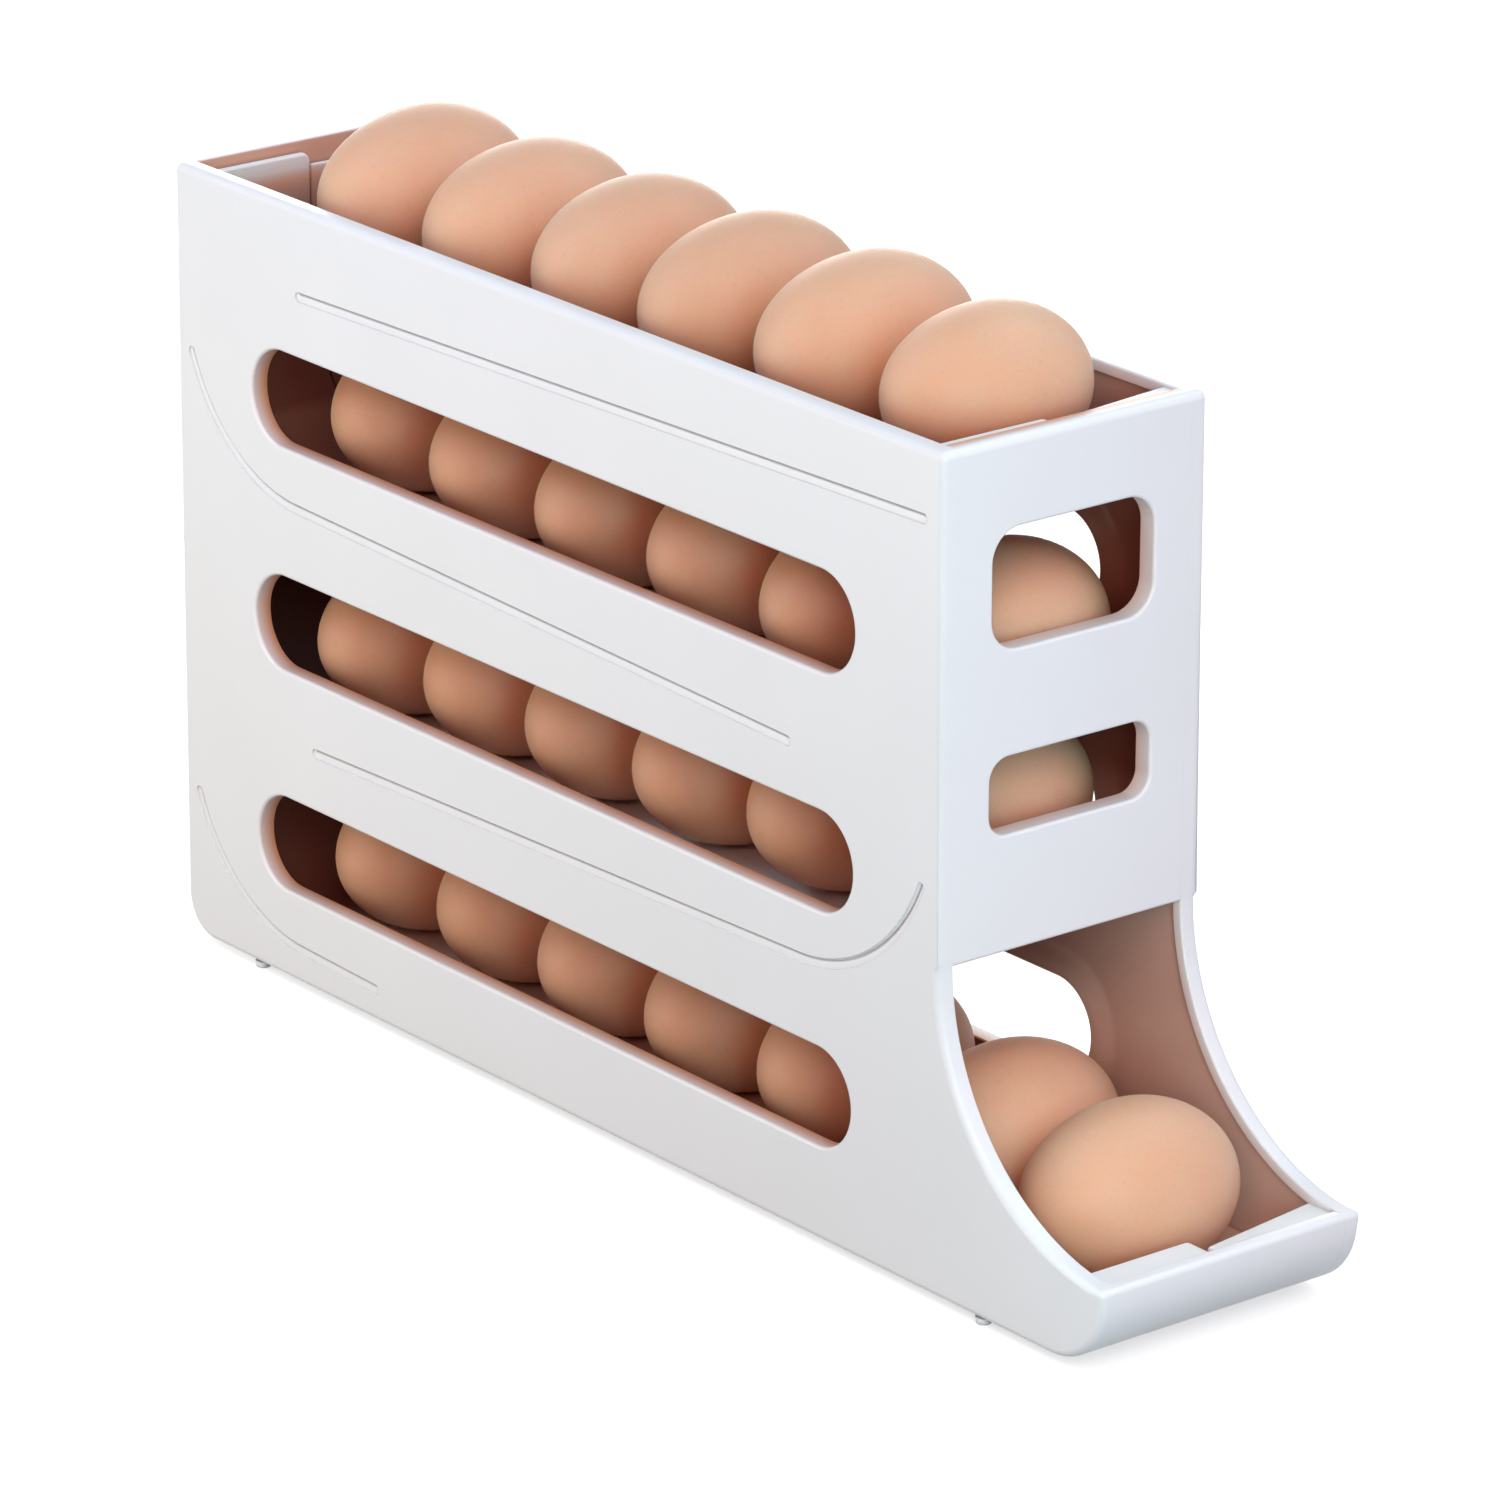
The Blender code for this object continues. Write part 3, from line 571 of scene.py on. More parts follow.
def track_underside(node):
    """The under side of a track's straight floor, as two points in Y and Z."""
    outline = end_outline(node, 0)
    flat = []
    for first, second in around(outline):
        if (second - first).length > FLOOR_EDGE_LIMIT:
            flat.append(sorted((first, second), key=lambda point: point.x))
    return min(flat, key=lambda pair: pair[0].y)


# Where the ledge under each track starts, and where they all end, behind the front face
LEDGE_STARTS = (17.8 * MM, 63.0 * MM, 51.6 * MM, 200.0 * MM)
LEDGE_END = 242.4 * MM
LEDGE_GAP = 0.3 * MM


def ledge_lines():
    """Where the ledges run: just under each track's floor."""
    lines = []
    for index, start in enumerate(LEDGE_STARTS):
        low, high = track_underside("tier_" + str(index + 1) + "_left_track")
        ends = []
        for along in (FRONT_FACE + start, FRONT_FACE + LEDGE_END):
            share = (along - low.x) / (high.x - low.x)
            ends.append(low.lerp(high, share) - Vector((0, LEDGE_GAP)))
        lines.append(ends)
    return lines


def build_side_panel(label, side):
    """One side panel, from its outer face inwards."""
    sizes = casing_sizes()
    thickness = sizes.side_wall + sizes.rim_depth
    shell = Shell()

    def stand(point, depth):
        return Vector((side * (HALF_WIDTH - depth), point.x, point.y))

    outline = casing_outline()
    rings = []
    for radii, steps, face, way in (
        (outer_radii(outline), quarter_round(1, ROUND_STEPS), 0, 1),
        (inner_radii(outline), quarter_round(1, SMALL_ROUND_STEPS)[::-1], thickness, -1),
    ):
        for share_in, share_down in steps:
            points = inset(outline, [radius * share_in for radius in radii])
            depths = [face + way * radius * share_down for radius in radii]
            rings.append(shell.ring([stand(point, depth) for point, depth in zip(points, depths)]))
    shell.strips(rings)
    outer_faces = [rings[0]]
    rim_outline = pocket_outline()
    pocket_rings = []
    # The rim's inner edge takes a little painted shade, and the pocket's face full painted shade
    for outwards, depth in quarter_round(0.4 * MM, SMALL_ROUND_STEPS):
        points = [stand(point, thickness - depth) for point in inset(rim_outline, -outwards)]
        pocket_rings.append(shell.ring(points, RIM_SHADE))
    pocket_rings.append(shell.ring([stand(point, sizes.side_wall) for point in rim_outline], 1))
    shell.strips(pocket_rings)
    shell.fill([rings[-1], pocket_rings[0]], (1, 0, 0))
    inner_faces = [pocket_rings[-1]]
    collar = (sizes.collar_width, sizes.collar_depth)
    for window in window_outlines():
        outside, inside = add_window(
            shell, window, stand, sizes.side_wall, sizes.window_round, REVEAL_SHADE, collar
        )
        outer_faces.append(outside)
        inner_faces.append(inside)
    for path in pressed_lines():
        outer_faces.append(add_pressed_line(shell, path, stand))
    for start, end in ledge_lines():
        inner_faces.append(add_ledge(shell, start, end, stand))
    shell.fill(outer_faces, (1, 0, 0))
    shell.fill(inner_faces, (1, 0, 0))
    piece = shell.finish(label + "_side_wall", plastic("casing_plastic"))
    stand_for(piece, label + "_side_panel", CASING_BODY)


# Front, back and lip panels: a section in Y and Z, drawn out between the side panels


def draw_out(name, section, flats, shades, node):
    """A closed section drawn out along X. flats maps an edge to the windows in its face."""
    shell = Shell()
    ends = []
    for across in (-PANEL_HALF_WIDTH, PANEL_HALF_WIDTH):
        ends.append(shell.ring([Vector((across, point.x, point.y)) for point in section], shades))
    for index, ((a, b), (c, d)) in enumerate(zip(around(ends[0]), around(ends[1]))):
        border = [a, b, d, c]
        if index in flats:
            shell.fill([border] + flats[index](shell), (0, 1, 0))
        else:
            shell.work.faces.new(border)
    for ring in ends:
        shell.fill([ring], (1, 0, 0))
    piece = shell.finish(name, plastic("casing_plastic"))
    stand_for(piece, node, CASING_BODY)


# The front windows' levels as shares of the casing's height, their heights and their corners
FRONT_WINDOWS = ((0.8236, 29.6 * MM, 8.0 * MM), (0.5803, 19.2 * MM, 5.5 * MM))
FRONT_WINDOW_WIDTH = 49.0 * MM
TUCK = 0.02 * MM
PANEL_HALF_WIDTH = 36.0 * MM


def build_front_panel():
    """The upper front wall, with its two windows."""
    sizes = casing_sizes()
    face = FRONT_FACE + TUCK
    wall = FRONT_HIGH.y - face
    top_round = sizes.corner_round
    inner = sizes.inner_round
    foot = 0.9 * MM
    section = arc((face + top_round, TOP - TUCK - top_round), top_round, 90, 180, 8)
    front_flat = len(section) - 1
    section += arc((face + foot, FRONT_LOW.z + foot), foot, 180, 270, 5)
    section += arc((FRONT_HIGH.y - foot, FRONT_LOW.z + foot), foot, 270, 360, 5)
    back_flat = len(section) - 1
    section += arc((FRONT_HIGH.y - inner, TOP - TUCK - inner), inner, 0, 90, 5)
    made = []

    def stand(point, depth):
        return Vector((point.x, face + depth, point.y))

    def front_holes(shell):
        for share, height, corner in FRONT_WINDOWS:
            centre = (0, BASE + share * BODY_HEIGHT)
            outline = slot_outline(centre, FRONT_WINDOW_WIDTH, height, corner, 10)
            edge = sizes.window_round
            made.append(add_window(shell, outline, stand, wall, edge, FRONT_REVEAL_SHADE))
        return [outside for outside, _inside in made]

    def back_holes(_shell):
        return [inside for _outside, inside in made]

    flats = {front_flat: front_holes, back_flat: back_holes}
    # Painted shade on the wall's inner side, rising from 3 mm to 6 mm behind the front face
    shades = [ramp(point.x, face + 3 * MM, face + 6 * MM) for point in section]
    draw_out("front_wall", section, flats, shades, "front_panel")


# How far below the top the back wall's painted inner shade changes
BACK_SHADE_STOPS = (5 * MM, 9 * MM, 18 * MM, 80 * MM, 100 * MM)


def build_back_panel():
    """The back wall."""
    sizes = casing_sizes()
    face = BACK_FACE - TUCK
    round_top = sizes.corner_round
    inner = sizes.inner_round
    foot = 0.7 * MM
    section = arc((face - round_top, TOP - TUCK - round_top), round_top, 0, 90, 8)
    section += arc((BACK_LOW.y + inner, TOP - TUCK - inner), inner, 90, 180, 4)
    section += [Vector((BACK_LOW.y, TOP - below)) for below in BACK_SHADE_STOPS]
    section += arc((BACK_LOW.y + foot, BACK_LOW.z + foot), foot, 180, 270, 4)
    section += arc((face - foot, BACK_LOW.z + foot), foot, 270, 360, 4)
    section = without_repeats(section)
    dark_from, unlit_from, unlit_to = BACK_SHADE_STOPS[2:]
    # The inner face takes painted shade that deepens below the top and turns near black further
    # down
    shades = []
    for point in section:
        below = TOP - point.y
        inside = min(1.0, 0.4 + 0.6 * below / dark_from) + ramp(below, unlit_from, unlit_to)
        shades.append(inside if point.x < BACK_LOW.y + 0.1 * MM else 0.0)
    draw_out("back_wall", section, {}, shades, "back_panel")


def build_lip_panel():
    """The low front wall of the mouth, which curls under at the toe."""
    sizes = casing_sizes()
    inner = 1.2 * MM
    lip, mouth_end = lip_corner()
    top = lip.y + sizes.lip_round * math.sin(math.radians(mouth_end + 180)) - TUCK
    centre = toe_centre()
    section = arc((LIP_FACE + LIP_WALL - inner, top - inner), inner, 0, 90, 5)
    section += arc(lip, sizes.lip_round - TUCK, 90, 180, 6)
    section += arc(centre, sizes.toe_radius - TUCK, 180, 270, 24)
    section += arc(centre, sizes.toe_radius - LIP_WALL, 270, 180, 18)
    draw_out("lip_wall", without_repeats(section), {}, 0.0, "lip_panel")


# Tracks

BEND_EDGE_LIMIT = 16 * MM
UPRIGHT_EDGE_LIMIT = 25 * MM
UPRIGHT_STOPS = (3.5 * MM, 6.5 * MM, 10 * MM, 15 * MM)
TRACK_COLUMNS = (33 * MM, 26 * MM, 19 * MM, 12 * MM)
CORNER_LIMIT = 40


def end_outline(node, side):
    """The closed outline, in Y and Z, of a node's flat end at low X for 0, or at high X for 1."""
    at_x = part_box(node)[side].x
    work = bmesh.new()
    work.from_mesh(frame["nodes"][node].data)
    bmesh.ops.remove_doubles(work, verts=work.verts, dist=0.01 * MM)
    flat = {vert for vert in work.verts if abs(vert.co.x - at_x) < 0.02 * MM}
    links = {}
    for edge in work.edges:
        if not all(vert in flat for vert in edge.verts):
            continue
        caps = sum(1 for face in edge.link_faces if all(vert in flat for vert in face.verts))
        if caps == 1:
            for vert in edge.verts:
                links.setdefault(vert, []).append(edge.other_vert(vert))
    start = next(iter(links))
    path = [start]
    current, previous = links[start][0], start
    while current is not start:
        path.append(current)
        following = [vert for vert in links[current] if vert is not previous][0]
        previous, current = current, following
    outline = [Vector((vert.co.y, vert.co.z)) for vert in path]
    work.free()
    area = sum(a.x * b.y - b.x * a.y for a, b in around(outline))
    return outline if area > 0 else outline[::-1]


def matched(outline, other):
    """The other outline, turned so that its points pair up with the first one's."""
    turns = [other[shift:] + other[:shift] for shift in range(len(other))]
    return min(turns, key=lambda turn: sum((a - b).length for a, b in zip(outline, turn)))


def with_stops(outlines):
    """Both end outlines, with points for the painted shade near the top of each tall upright edge.
    """
    result = ([], [])
    for index, (point, after) in enumerate(around(outlines[0])):
        following = (index + 1) % len(outlines[0])
        step = after - point
        shares = []
        if abs(step.x) < 0.1 * MM and step.length > UPRIGHT_EDGE_LIMIT:
            shares = [below / step.length for below in UPRIGHT_STOPS]
            if step.y > 0:
                shares = [1 - share for share in shares[::-1]]
        for outline, points in zip(outlines, result):
            points.append(outline[index])
            points += [outline[index].lerp(outline[following], share) for share in shares]
    return result


def refined(outline, corners):
    """The outline with a point added in each short edge, on the curve that the edges follow."""
    steps = [following - point for point, following in around(outline)]
    ways = [step.normalized() for step in steps]
    straight = [step.length > BEND_EDGE_LIMIT for step in steps]
    heading = []
    for index, way in enumerate(ways):
        if straight[index - 1]:
            heading.append(ways[index - 1])
        else:
            heading.append(way if straight[index] else (ways[index - 1] + way).normalized())
    points = []
    kept = []
    for index, point in enumerate(outline):
        following = (index + 1) % len(outline)
        if index in corners:
            kept.append(len(points))
        points.append(point)
        if straight[index] or (index in corners and following in corners):
            continue
        leaving = heading[index]
        arriving = heading[following]
        if index in corners:
            leaving = 2 * ways[index].dot(arriving) * ways[index] - arriving
        if following in corners:
            arriving = 2 * ways[index].dot(leaving) * ways[index] - leaving
        middle = (point + outline[following]) / 2
        points.append(middle + (leaving - arriving) * steps[index].length / 8)
    return points, kept


def taken_down(outline, drop, to_front):
    """The outline with its upturned front or back end lowered a little."""
    reach = track_sizes().corner_reach
    middle = (min(point.x for point in outline) + max(point.x for point in outline)) / 2
    ends = [point for point in outline if (point.x < middle) == to_front]
    top = max(point.y for point in ends)
    result = []
    for point in outline:
        above = point.y - (top - reach)
        if (point.x < middle) == to_front and above > 0:
            point = Vector((point.x, top - reach + above * (reach - drop) / reach))
        result.append(point)
    return result


# A track's open end: front or back, where it begins, and the levels where its painted shade is
# pale and deep
OPEN_ENDS = {
    1: (-1, 105 * MM, TOP - 1.5 * MM, TOP - 9 * MM),
    2: (1, 165 * MM, TOP - 6 * MM, TOP - 13 * MM),
    4: (-1, 160 * MM, 21 * MM, 15 * MM),
}
# The painted shade of each track's floor, back bend and front bend
TRACK_SHADES = {1: (0.3, 0, 0), 2: (0.05, 0.94, 0.5), 3: (0.05, 1, 1), 4: (0.05, 1, 0.5)}
BACK_BEND = (126 * MM, 148 * MM)
FRONT_BEND = (-85 * MM, -105 * MM)


def track_shade(place, tier):
    """How much painted shade and painted bounce light the track takes: pale on its floor and open
    end, deep in its bends.
    """
    if tier in OPEN_ENDS:
        way, begin, pale, deep = OPEN_ENDS[tier]
        if way * place.y > begin:
            return ramp(place.z, pale, deep)
    floor, back_most, front_most = TRACK_SHADES[tier]
    back_bend = back_most * ramp(place.y, *BACK_BEND)
    return max(floor, back_bend, front_most * ramp(place.y, *FRONT_BEND))


def round_drop(radius, away):
    """How far a round corner falls below its flat side, at a distance from its edge."""
    return radius - math.sqrt(radius * radius - (radius - away) ** 2)


def build_track(node, side, tier):
    """One half of a track: its two end outlines joined up, with rounded tips and slot edge."""
    sizes = track_sizes()
    low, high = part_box(node)
    first = end_outline(node, 0)
    outlines = with_stops([first, matched(first, end_outline(node, 1))])
    corners = sharp_corners(outlines[0], CORNER_LIMIT)
    pairs = [refined(outline, corners) for outline in outlines]
    corners = pairs[0][1]
    ends = [(pairs[0][0], low.x), (pairs[1][0], high.x)]
    (wall_end, wall_x), (slot_end, slot_x) = ends if side < 0 else ends[::-1]
    reach_x = side * (HALF_WIDTH - casing_sizes().side_wall - sizes.wall_gap)
    shell = Shell()
    rings = []
    columns = [reach_x] + [side * across for across in TRACK_COLUMNS]
    for angle in range(0, 91, 10):
        away = sizes.corner_radius * (1 - math.sin(math.radians(angle)))
        columns.append(slot_x + side * away)
    for across in columns:
        share = (across - wall_x) / (slot_x - wall_x)
        outline = [a.lerp(b, share) for a, b in zip(wall_end, slot_end)]
        outline = soft_corners(outline, sizes.tip_round, corners, 4)
        away = abs(across - slot_x)
        if side < 0 and away < sizes.corner_radius:
            outline = taken_down(outline, round_drop(sizes.corner_radius, away), tier != 2)
        if away < sizes.edge_round:
            outline = inset(outline, round_drop(sizes.edge_round, away))
        points = [Vector((across, point.x, point.y)) for point in outline]
        rings.append(shell.ring(points, [track_shade(point, tier) for point in points]))
    shell.strips(rings)
    for ring in (rings[0], rings[-1]):
        shell.fill([ring], (1, 0, 0))
    piece = shell.finish(node.replace("_track", "_chute"), plastic("track_plastic"))
    stand_for(piece, node, CASING_BODY)


# Feet and eggs


def build_foot(node):
    """A small round pad with a soft edge, turned from its profile."""
    low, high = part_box(node)
    centre = (low + high) / 2
    radius = (high.x - low.x) / 2
    shell = Shell()
    profile = [(radius, high.z)]
    for outwards, depth in quarter_round(0.35 * MM, SMALL_ROUND_STEPS)[::-1]:
        profile.append((radius - 0.2 * MM - outwards, low.z + depth))
    rings = []
    for reach, level in profile:
        points = arc(centre, reach, 0, 360, 40)[:-1]
        rings.append(shell.ring([Vector((point.x, point.y, level)) for point in points]))
    shell.strips(rings)
    for ring in (rings[0], rings[-1]):
        shell.fill([ring], (0, 0, 1))
    piece = shell.finish(node + "_pad", plastic("foot_rubber"))
    stand_for(piece, node, CASING_BODY)


WINDOW_ROWS_START = FRONT_FACE + 25 * MM
WINDOW_ROWS_TOP = TOP - 20 * MM


def build_egg(node, body, draw):
    """A smooth egg that lies along X about its own long axis."""
    sizes = egg_sizes()
    low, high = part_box(node)
    behind_windows = low.y > WINDOW_ROWS_START and high.z < WINDOW_ROWS_TOP
    # Eggs behind the windows take the shell's painted shade copy
    material = eggshell("inner_row_shell" if behind_windows else "outer_shell", behind_windows)
    radius = (high.z - low.z) / 2
    waist = low.x + sizes.small_end
    spread = sizes.length_spread
    small = sizes.small_end + draw.uniform(-spread, spread)
    big = high.x - waist + draw.uniform(0, spread)
    centre = Vector((waist, (low.y + high.y) / 2, (low.z + high.z) / 2))
    if node == "tier_1_egg_1":
        share = sizes.front_egg_share
        centre.z -= radius * (1 - share)
        radius, small, big = radius * share, small * share, big * share
    mesh = bpy.data.meshes.new(node)
    work = bmesh.new()
    bmesh.ops.create_uvsphere(work, u_segments=sizes.around, v_segments=sizes.along, radius=radius)
    turn = Matrix.Rotation(math.radians(90), 3, "Y")
    bmesh.ops.rotate(work, cent=(0, 0, 0), matrix=turn, verts=work.verts)
    for vert in work.verts:
        reach = small if vert.co.x < 0 else big
        vert.co.x *= reach / radius
    # The sphere operator gives the faces in an order that differs from run to run
    work.verts.index_update()
    faces = sorted([vert.index for vert in face.verts] for face in work.faces)
    mesh.from_pydata([vert.co for vert in work.verts], [], faces)
    work.free()
    mesh.materials.append(material)
    mesh.shade_smooth()
    egg = placed(node.replace("_egg_", "_eggshell_"), mesh)
    egg.location = centre
    stand_for(egg, node, body)


# Materials


def set_inputs(tree, node, values):
    """Each input takes its value, or a link where the value is a socket."""
    for name, value in values.items():
        if isinstance(value, bpy.types.NodeSocket):
            tree.links.new(value, node.inputs[name])
        else:
            node.inputs[name].default_value = value


def add_node(tree, kind, values, **settings):
    """A new node with its settings and its inputs."""
    node = tree.nodes.new(kind)
    for name, value in settings.items():
        setattr(node, name, value)
    set_inputs(tree, node, values)
    return node


def object_place(tree):
    return tree.nodes.new("ShaderNodeTexCoord").outputs["Object"]


def noise(tree, place, scale, detail):
    values = {"Vector": place, "Scale": scale, "Detail": detail}
    return add_node(tree, "ShaderNodeTexNoise", values).outputs["Fac"]


def ranged(tree, value, low, high, start=0, end=1, **settings):
    """A value that runs from start to end, brought to the range from low to high."""
    values = {"Value": value, "From Min": start, "From Max": end, "To Min": low, "To Max": high}
    return add_node(tree, "ShaderNodeMapRange", values, **settings).outputs["Result"]


def worked_out(tree, operation, first, second):
    node = add_node(tree, "ShaderNodeMath", {0: first, 1: second}, operation=operation)
    return node.outputs["Value"]


def mixed(tree, first, second, factor, blend="MIX"):
    node = tree.nodes.new("ShaderNodeMix")
    node.data_type = "RGBA"
    node.blend_type = blend
    set_inputs(tree, node, {"A": first, "B": second, "Factor": factor})
    return node.outputs["Result"]


def scaled(tree, tone, factor):
    """A colour multiplied by a value."""
    return mixed(tree, tone, factor, 1, "MULTIPLY")


def bumped(tree, height, strength, distance):
    values = {"Height": height, "Strength": strength, "Distance": distance}
    return add_node(tree, "ShaderNodeBump", values).outputs["Normal"]


def moulded_grain():
    """Fine grain, uneven gloss and faint tone changes of moulded plastic."""
    name = "moulded_grain"
    if name in bpy.data.node_groups:
        return bpy.data.node_groups[name]
    group = bpy.data.node_groups.new(name, "ShaderNodeTree")
    for label, value in (("Grain Scale", 1400), ("Cloud Scale", 28)):
        socket = group.interface.new_socket(label, in_out="INPUT", socket_type="NodeSocketFloat")
        socket.default_value = value
    for label in ("Height", "Gloss", "Tone"):
        group.interface.new_socket(label, in_out="OUTPUT", socket_type="NodeSocketFloat")
    scales = group.nodes.new("NodeGroupInput").outputs
    place = object_place(group)
    grain = noise(group, place, scales["Grain Scale"], 3)
    cloud = noise(group, place, scales["Cloud Scale"], 2)
    tone = ranged(group, cloud, 0.97, 1.02)
    add_node(group, "NodeGroupOutput", {"Height": grain, "Gloss": cloud, "Tone": tone})
    return group


def new_material(name):
    material = bpy.data.materials.new(name)
    material.use_nodes = True
    tree = material.node_tree
    return material, tree, tree.nodes["Principled BSDF"]


# These masks choose where the lighter painted shade of the mouth stands in for the darker painted
# deep shade
# For each mask an axis, the places where it starts and where it is full, and how full it gets
OPEN_MASKS = (
    ("Y", -45 * MM, -140 * MM, 1),
    ("Z", 112 * MM, 96 * MM, 1),
    ("Z", 182 * MM, 206 * MM, 0.85),
)


def open_mask(tree):
    """1 at the mouth and, in part, at the open top, falling to 0 deeper inside. Where it is 1, the
    lighter painted mouth shade replaces the darker painted deep shade.
    """
    parts = add_node(tree, "ShaderNodeSeparateXYZ", {"Vector": object_place(tree)}).outputs
    masks = []
    for axis, start, full, most in OPEN_MASKS:
        mask = ranged(tree, parts[axis], 0, most, start, full, interpolation_type="SMOOTHSTEP")
        masks.append(mask)
    mouth = worked_out(tree, "MULTIPLY", masks[0], masks[1])
    return worked_out(tree, "MAXIMUM", mouth, masks[2])


def shaded_base(tree, outside):
    """The base colour by the shade layer, and how deep inside each place lies.

    The colour runs from the white of the outside through painted bounce light from the eggs to
    painted dark shade inside, and on to painted near-black shade where the layer passes 1."""
    look = finishes()
    layer = add_node(tree, "ShaderNodeAttribute", {}, attribute_name=SHADE_LAYER).outputs["Fac"]
    tones = add_node(tree, "ShaderNodeValToRGB", {"Fac": layer})
    stops = tones.color_ramp.elements
    stops[0].color = (*outside, 1)
    stops[1].color = (*look.deep_colour, 1)
    stops.new(0.5).color = (*look.glow_colour, 1)
    # Near the mouth and the open top, the lighter painted mouth shade takes over
    open_share = worked_out(tree, "MULTIPLY", layer, open_mask(tree))
    base = mixed(tree, tones.outputs["Color"], (*look.mouth_colour, 1), open_share)
    buried = worked_out(tree, "SUBTRACT", layer, open_share)
    unlit = ranged(tree, layer, 1, 0.36, 1, UNLIT_SHADE)
    return scaled(tree, base, unlit), buried


# Each plastic's colour among the finishes, its least and most roughness and its grain's depth
PLASTICS = {
    "casing_plastic": ("casing_colour", 0.3, 0.42, 0.03 * MM),
    "track_plastic": ("track_colour", 0.36, 0.5, 0.03 * MM),
    "foot_rubber": ("foot_colour", 0.6, 0.75, 0.06 * MM),
}


def plastic(name):
    """A satin moulded plastic, with painted shade and painted bounce light where the shade layer
    says that it is inside.
    """
    if name in bpy.data.materials:
        return bpy.data.materials[name]
    outside, gloss_low, gloss_high, grain_depth = PLASTICS[name]
    material, tree, shader = new_material(name)
    grain = add_node(tree, "ShaderNodeGroup", {}, node_tree=moulded_grain()).outputs
    base, buried = shaded_base(tree, getattr(finishes(), outside))
    # Ambient occlusion darkens the colour in narrow grooves, gaps and corners: painted crease
    # shade
    crease = add_node(tree, "ShaderNodeAmbientOcclusion", {"Distance": 1.2 * MM}, samples=8)
    painted_crease_shade = ranged(tree, crease.outputs["AO"], 0.55, 1)
    set_inputs(tree, shader, {
        "Base Color": scaled(tree, scaled(tree, base, grain["Tone"]), painted_crease_shade),
        "Roughness": ranged(tree, grain["Gloss"], gloss_low, gloss_high),
        # Reflection is turned down deep inside: painted shade
        "Specular IOR Level": ranged(tree, buried, 0.5, 0.12),
        "IOR": 1.46,
        "Normal": bumped(tree, grain["Height"], 0.25, grain_depth),
    })
    return material


def eggshell(name, inner):
    """Matt shell with pores, faint freckles and paler patches that differ from egg to egg, with
    painted shade when inner is set.
    """
    if name in bpy.data.materials:
        return bpy.data.materials[name]
    look = finishes()
    tones = [Vector(look.shell_colour), Vector(look.shell_pale_colour)]
    # Eggs behind the windows get darker, redder tones: painted shade
    if inner:
        tones = [tone * Vector(look.inner_shell_share) for tone in tones]
    material, tree, shader = new_material(name)
    each = tree.nodes.new("ShaderNodeObjectInfo").outputs["Random"]
    places = {0: object_place(tree), 1: each}
    spot = add_node(tree, "ShaderNodeVectorMath", places, operation="ADD").outputs["Vector"]
    base = mixed(tree, (*tones[0], 1), (*tones[1], 1), noise(tree, spot, 45, 3))
    freckles = ranged(tree, noise(tree, spot, 900, 1), 1, 0.95, 0.6, 0.75)
    warmth = ranged(tree, each, 0.94, 1.03)
    set_inputs(tree, shader, {
        "Base Color": scaled(tree, scaled(tree, base, freckles), warmth),
        "Roughness": 0.55,
        "IOR": 1.4,
        "Subsurface Weight": 0.85,
        "Subsurface Radius": (0.018, 0.005, 0.0025),
        "Subsurface Scale": 1,
        "Normal": bumped(tree, noise(tree, spot, 1500, 2), 0.35, 0.05 * MM),
    })
    return material


# Stage

WHITE = (1, 1, 1, 1)


def seen_directly(tree):
    """1 for camera, glossy and transmission rays, else 0."""
    rays = tree.nodes.new("ShaderNodeLightPath").outputs
    seen = worked_out(tree, "MAXIMUM", rays["Is Camera Ray"], rays["Is Glossy Ray"])
    return worked_out(tree, "MAXIMUM", seen, rays["Is Transmission Ray"])


def build_floor():
    """A white floor: its lit part keeps a faint real shadow, and near the object a painted contact
    shadow dims its white glow.
    """
    half = stage_values().floor_half_size
    mesh = bpy.data.meshes.new("floor")
    corners = [(-half, -half, 0), (half, -half, 0), (half, half, 0), (-half, half, 0)]
    mesh.from_pydata(corners, [], [(0, 1, 2, 3)])
    floor = placed("floor", mesh)
    material, tree, shader = new_material("floor_paper")
    fine = noise(tree, object_place(tree), 60, 2)
    tone = mixed(tree, (0.38, 0.38, 0.38, 1), (0.42, 0.42, 0.42, 1), fine)
    set_inputs(tree, shader, {"Base Color": tone, "Roughness": 0.9, "Specular IOR Level": 0})
    # Ambient occlusion dims the floor's white emission near the object: a painted contact shadow
    contact = add_node(tree, "ShaderNodeAmbientOcclusion", {"Distance": 40 * MM}, samples=16)
    shadow = ranged(tree, contact.outputs["AO"], 0.6, 1)
    glow = add_node(tree, "ShaderNodeEmission", {"Strength": shadow})
    layers = {0: shader.outputs["BSDF"], 1: glow.outputs["Emission"]}
    both = add_node(tree, "ShaderNodeAddShader", layers)
    dim = add_node(tree, "ShaderNodeBsdfDiffuse", {"Color": (0.3, 0.3, 0.31, 1)})
    choice = {"Fac": seen_directly(tree), 1: dim.outputs["BSDF"], 2: both.outputs["Shader"]}
    pick = add_node(tree, "ShaderNodeMixShader", choice)
    set_inputs(tree, tree.nodes["Material Output"], {"Surface": pick.outputs["Shader"]})
    mesh.materials.append(material)


def build_world():
    world = bpy.data.worlds.new("studio")
    world.use_nodes = True
    tree = world.node_tree
    soft = tree.nodes["Background"]
    set_inputs(tree, soft, {"Color": WHITE, "Strength": stage_values().ambient})
    white = add_node(tree, "ShaderNodeBackground", {"Color": WHITE, "Strength": 1})
    layers = {1: soft.outputs["Background"], 2: white.outputs["Background"]}
    pick = add_node(tree, "ShaderNodeMixShader", {"Fac": seen_directly(tree), **layers})
    set_inputs(tree, tree.nodes["World Output"], {"Surface": pick.outputs["Shader"]})
    bpy.context.scene.world = world


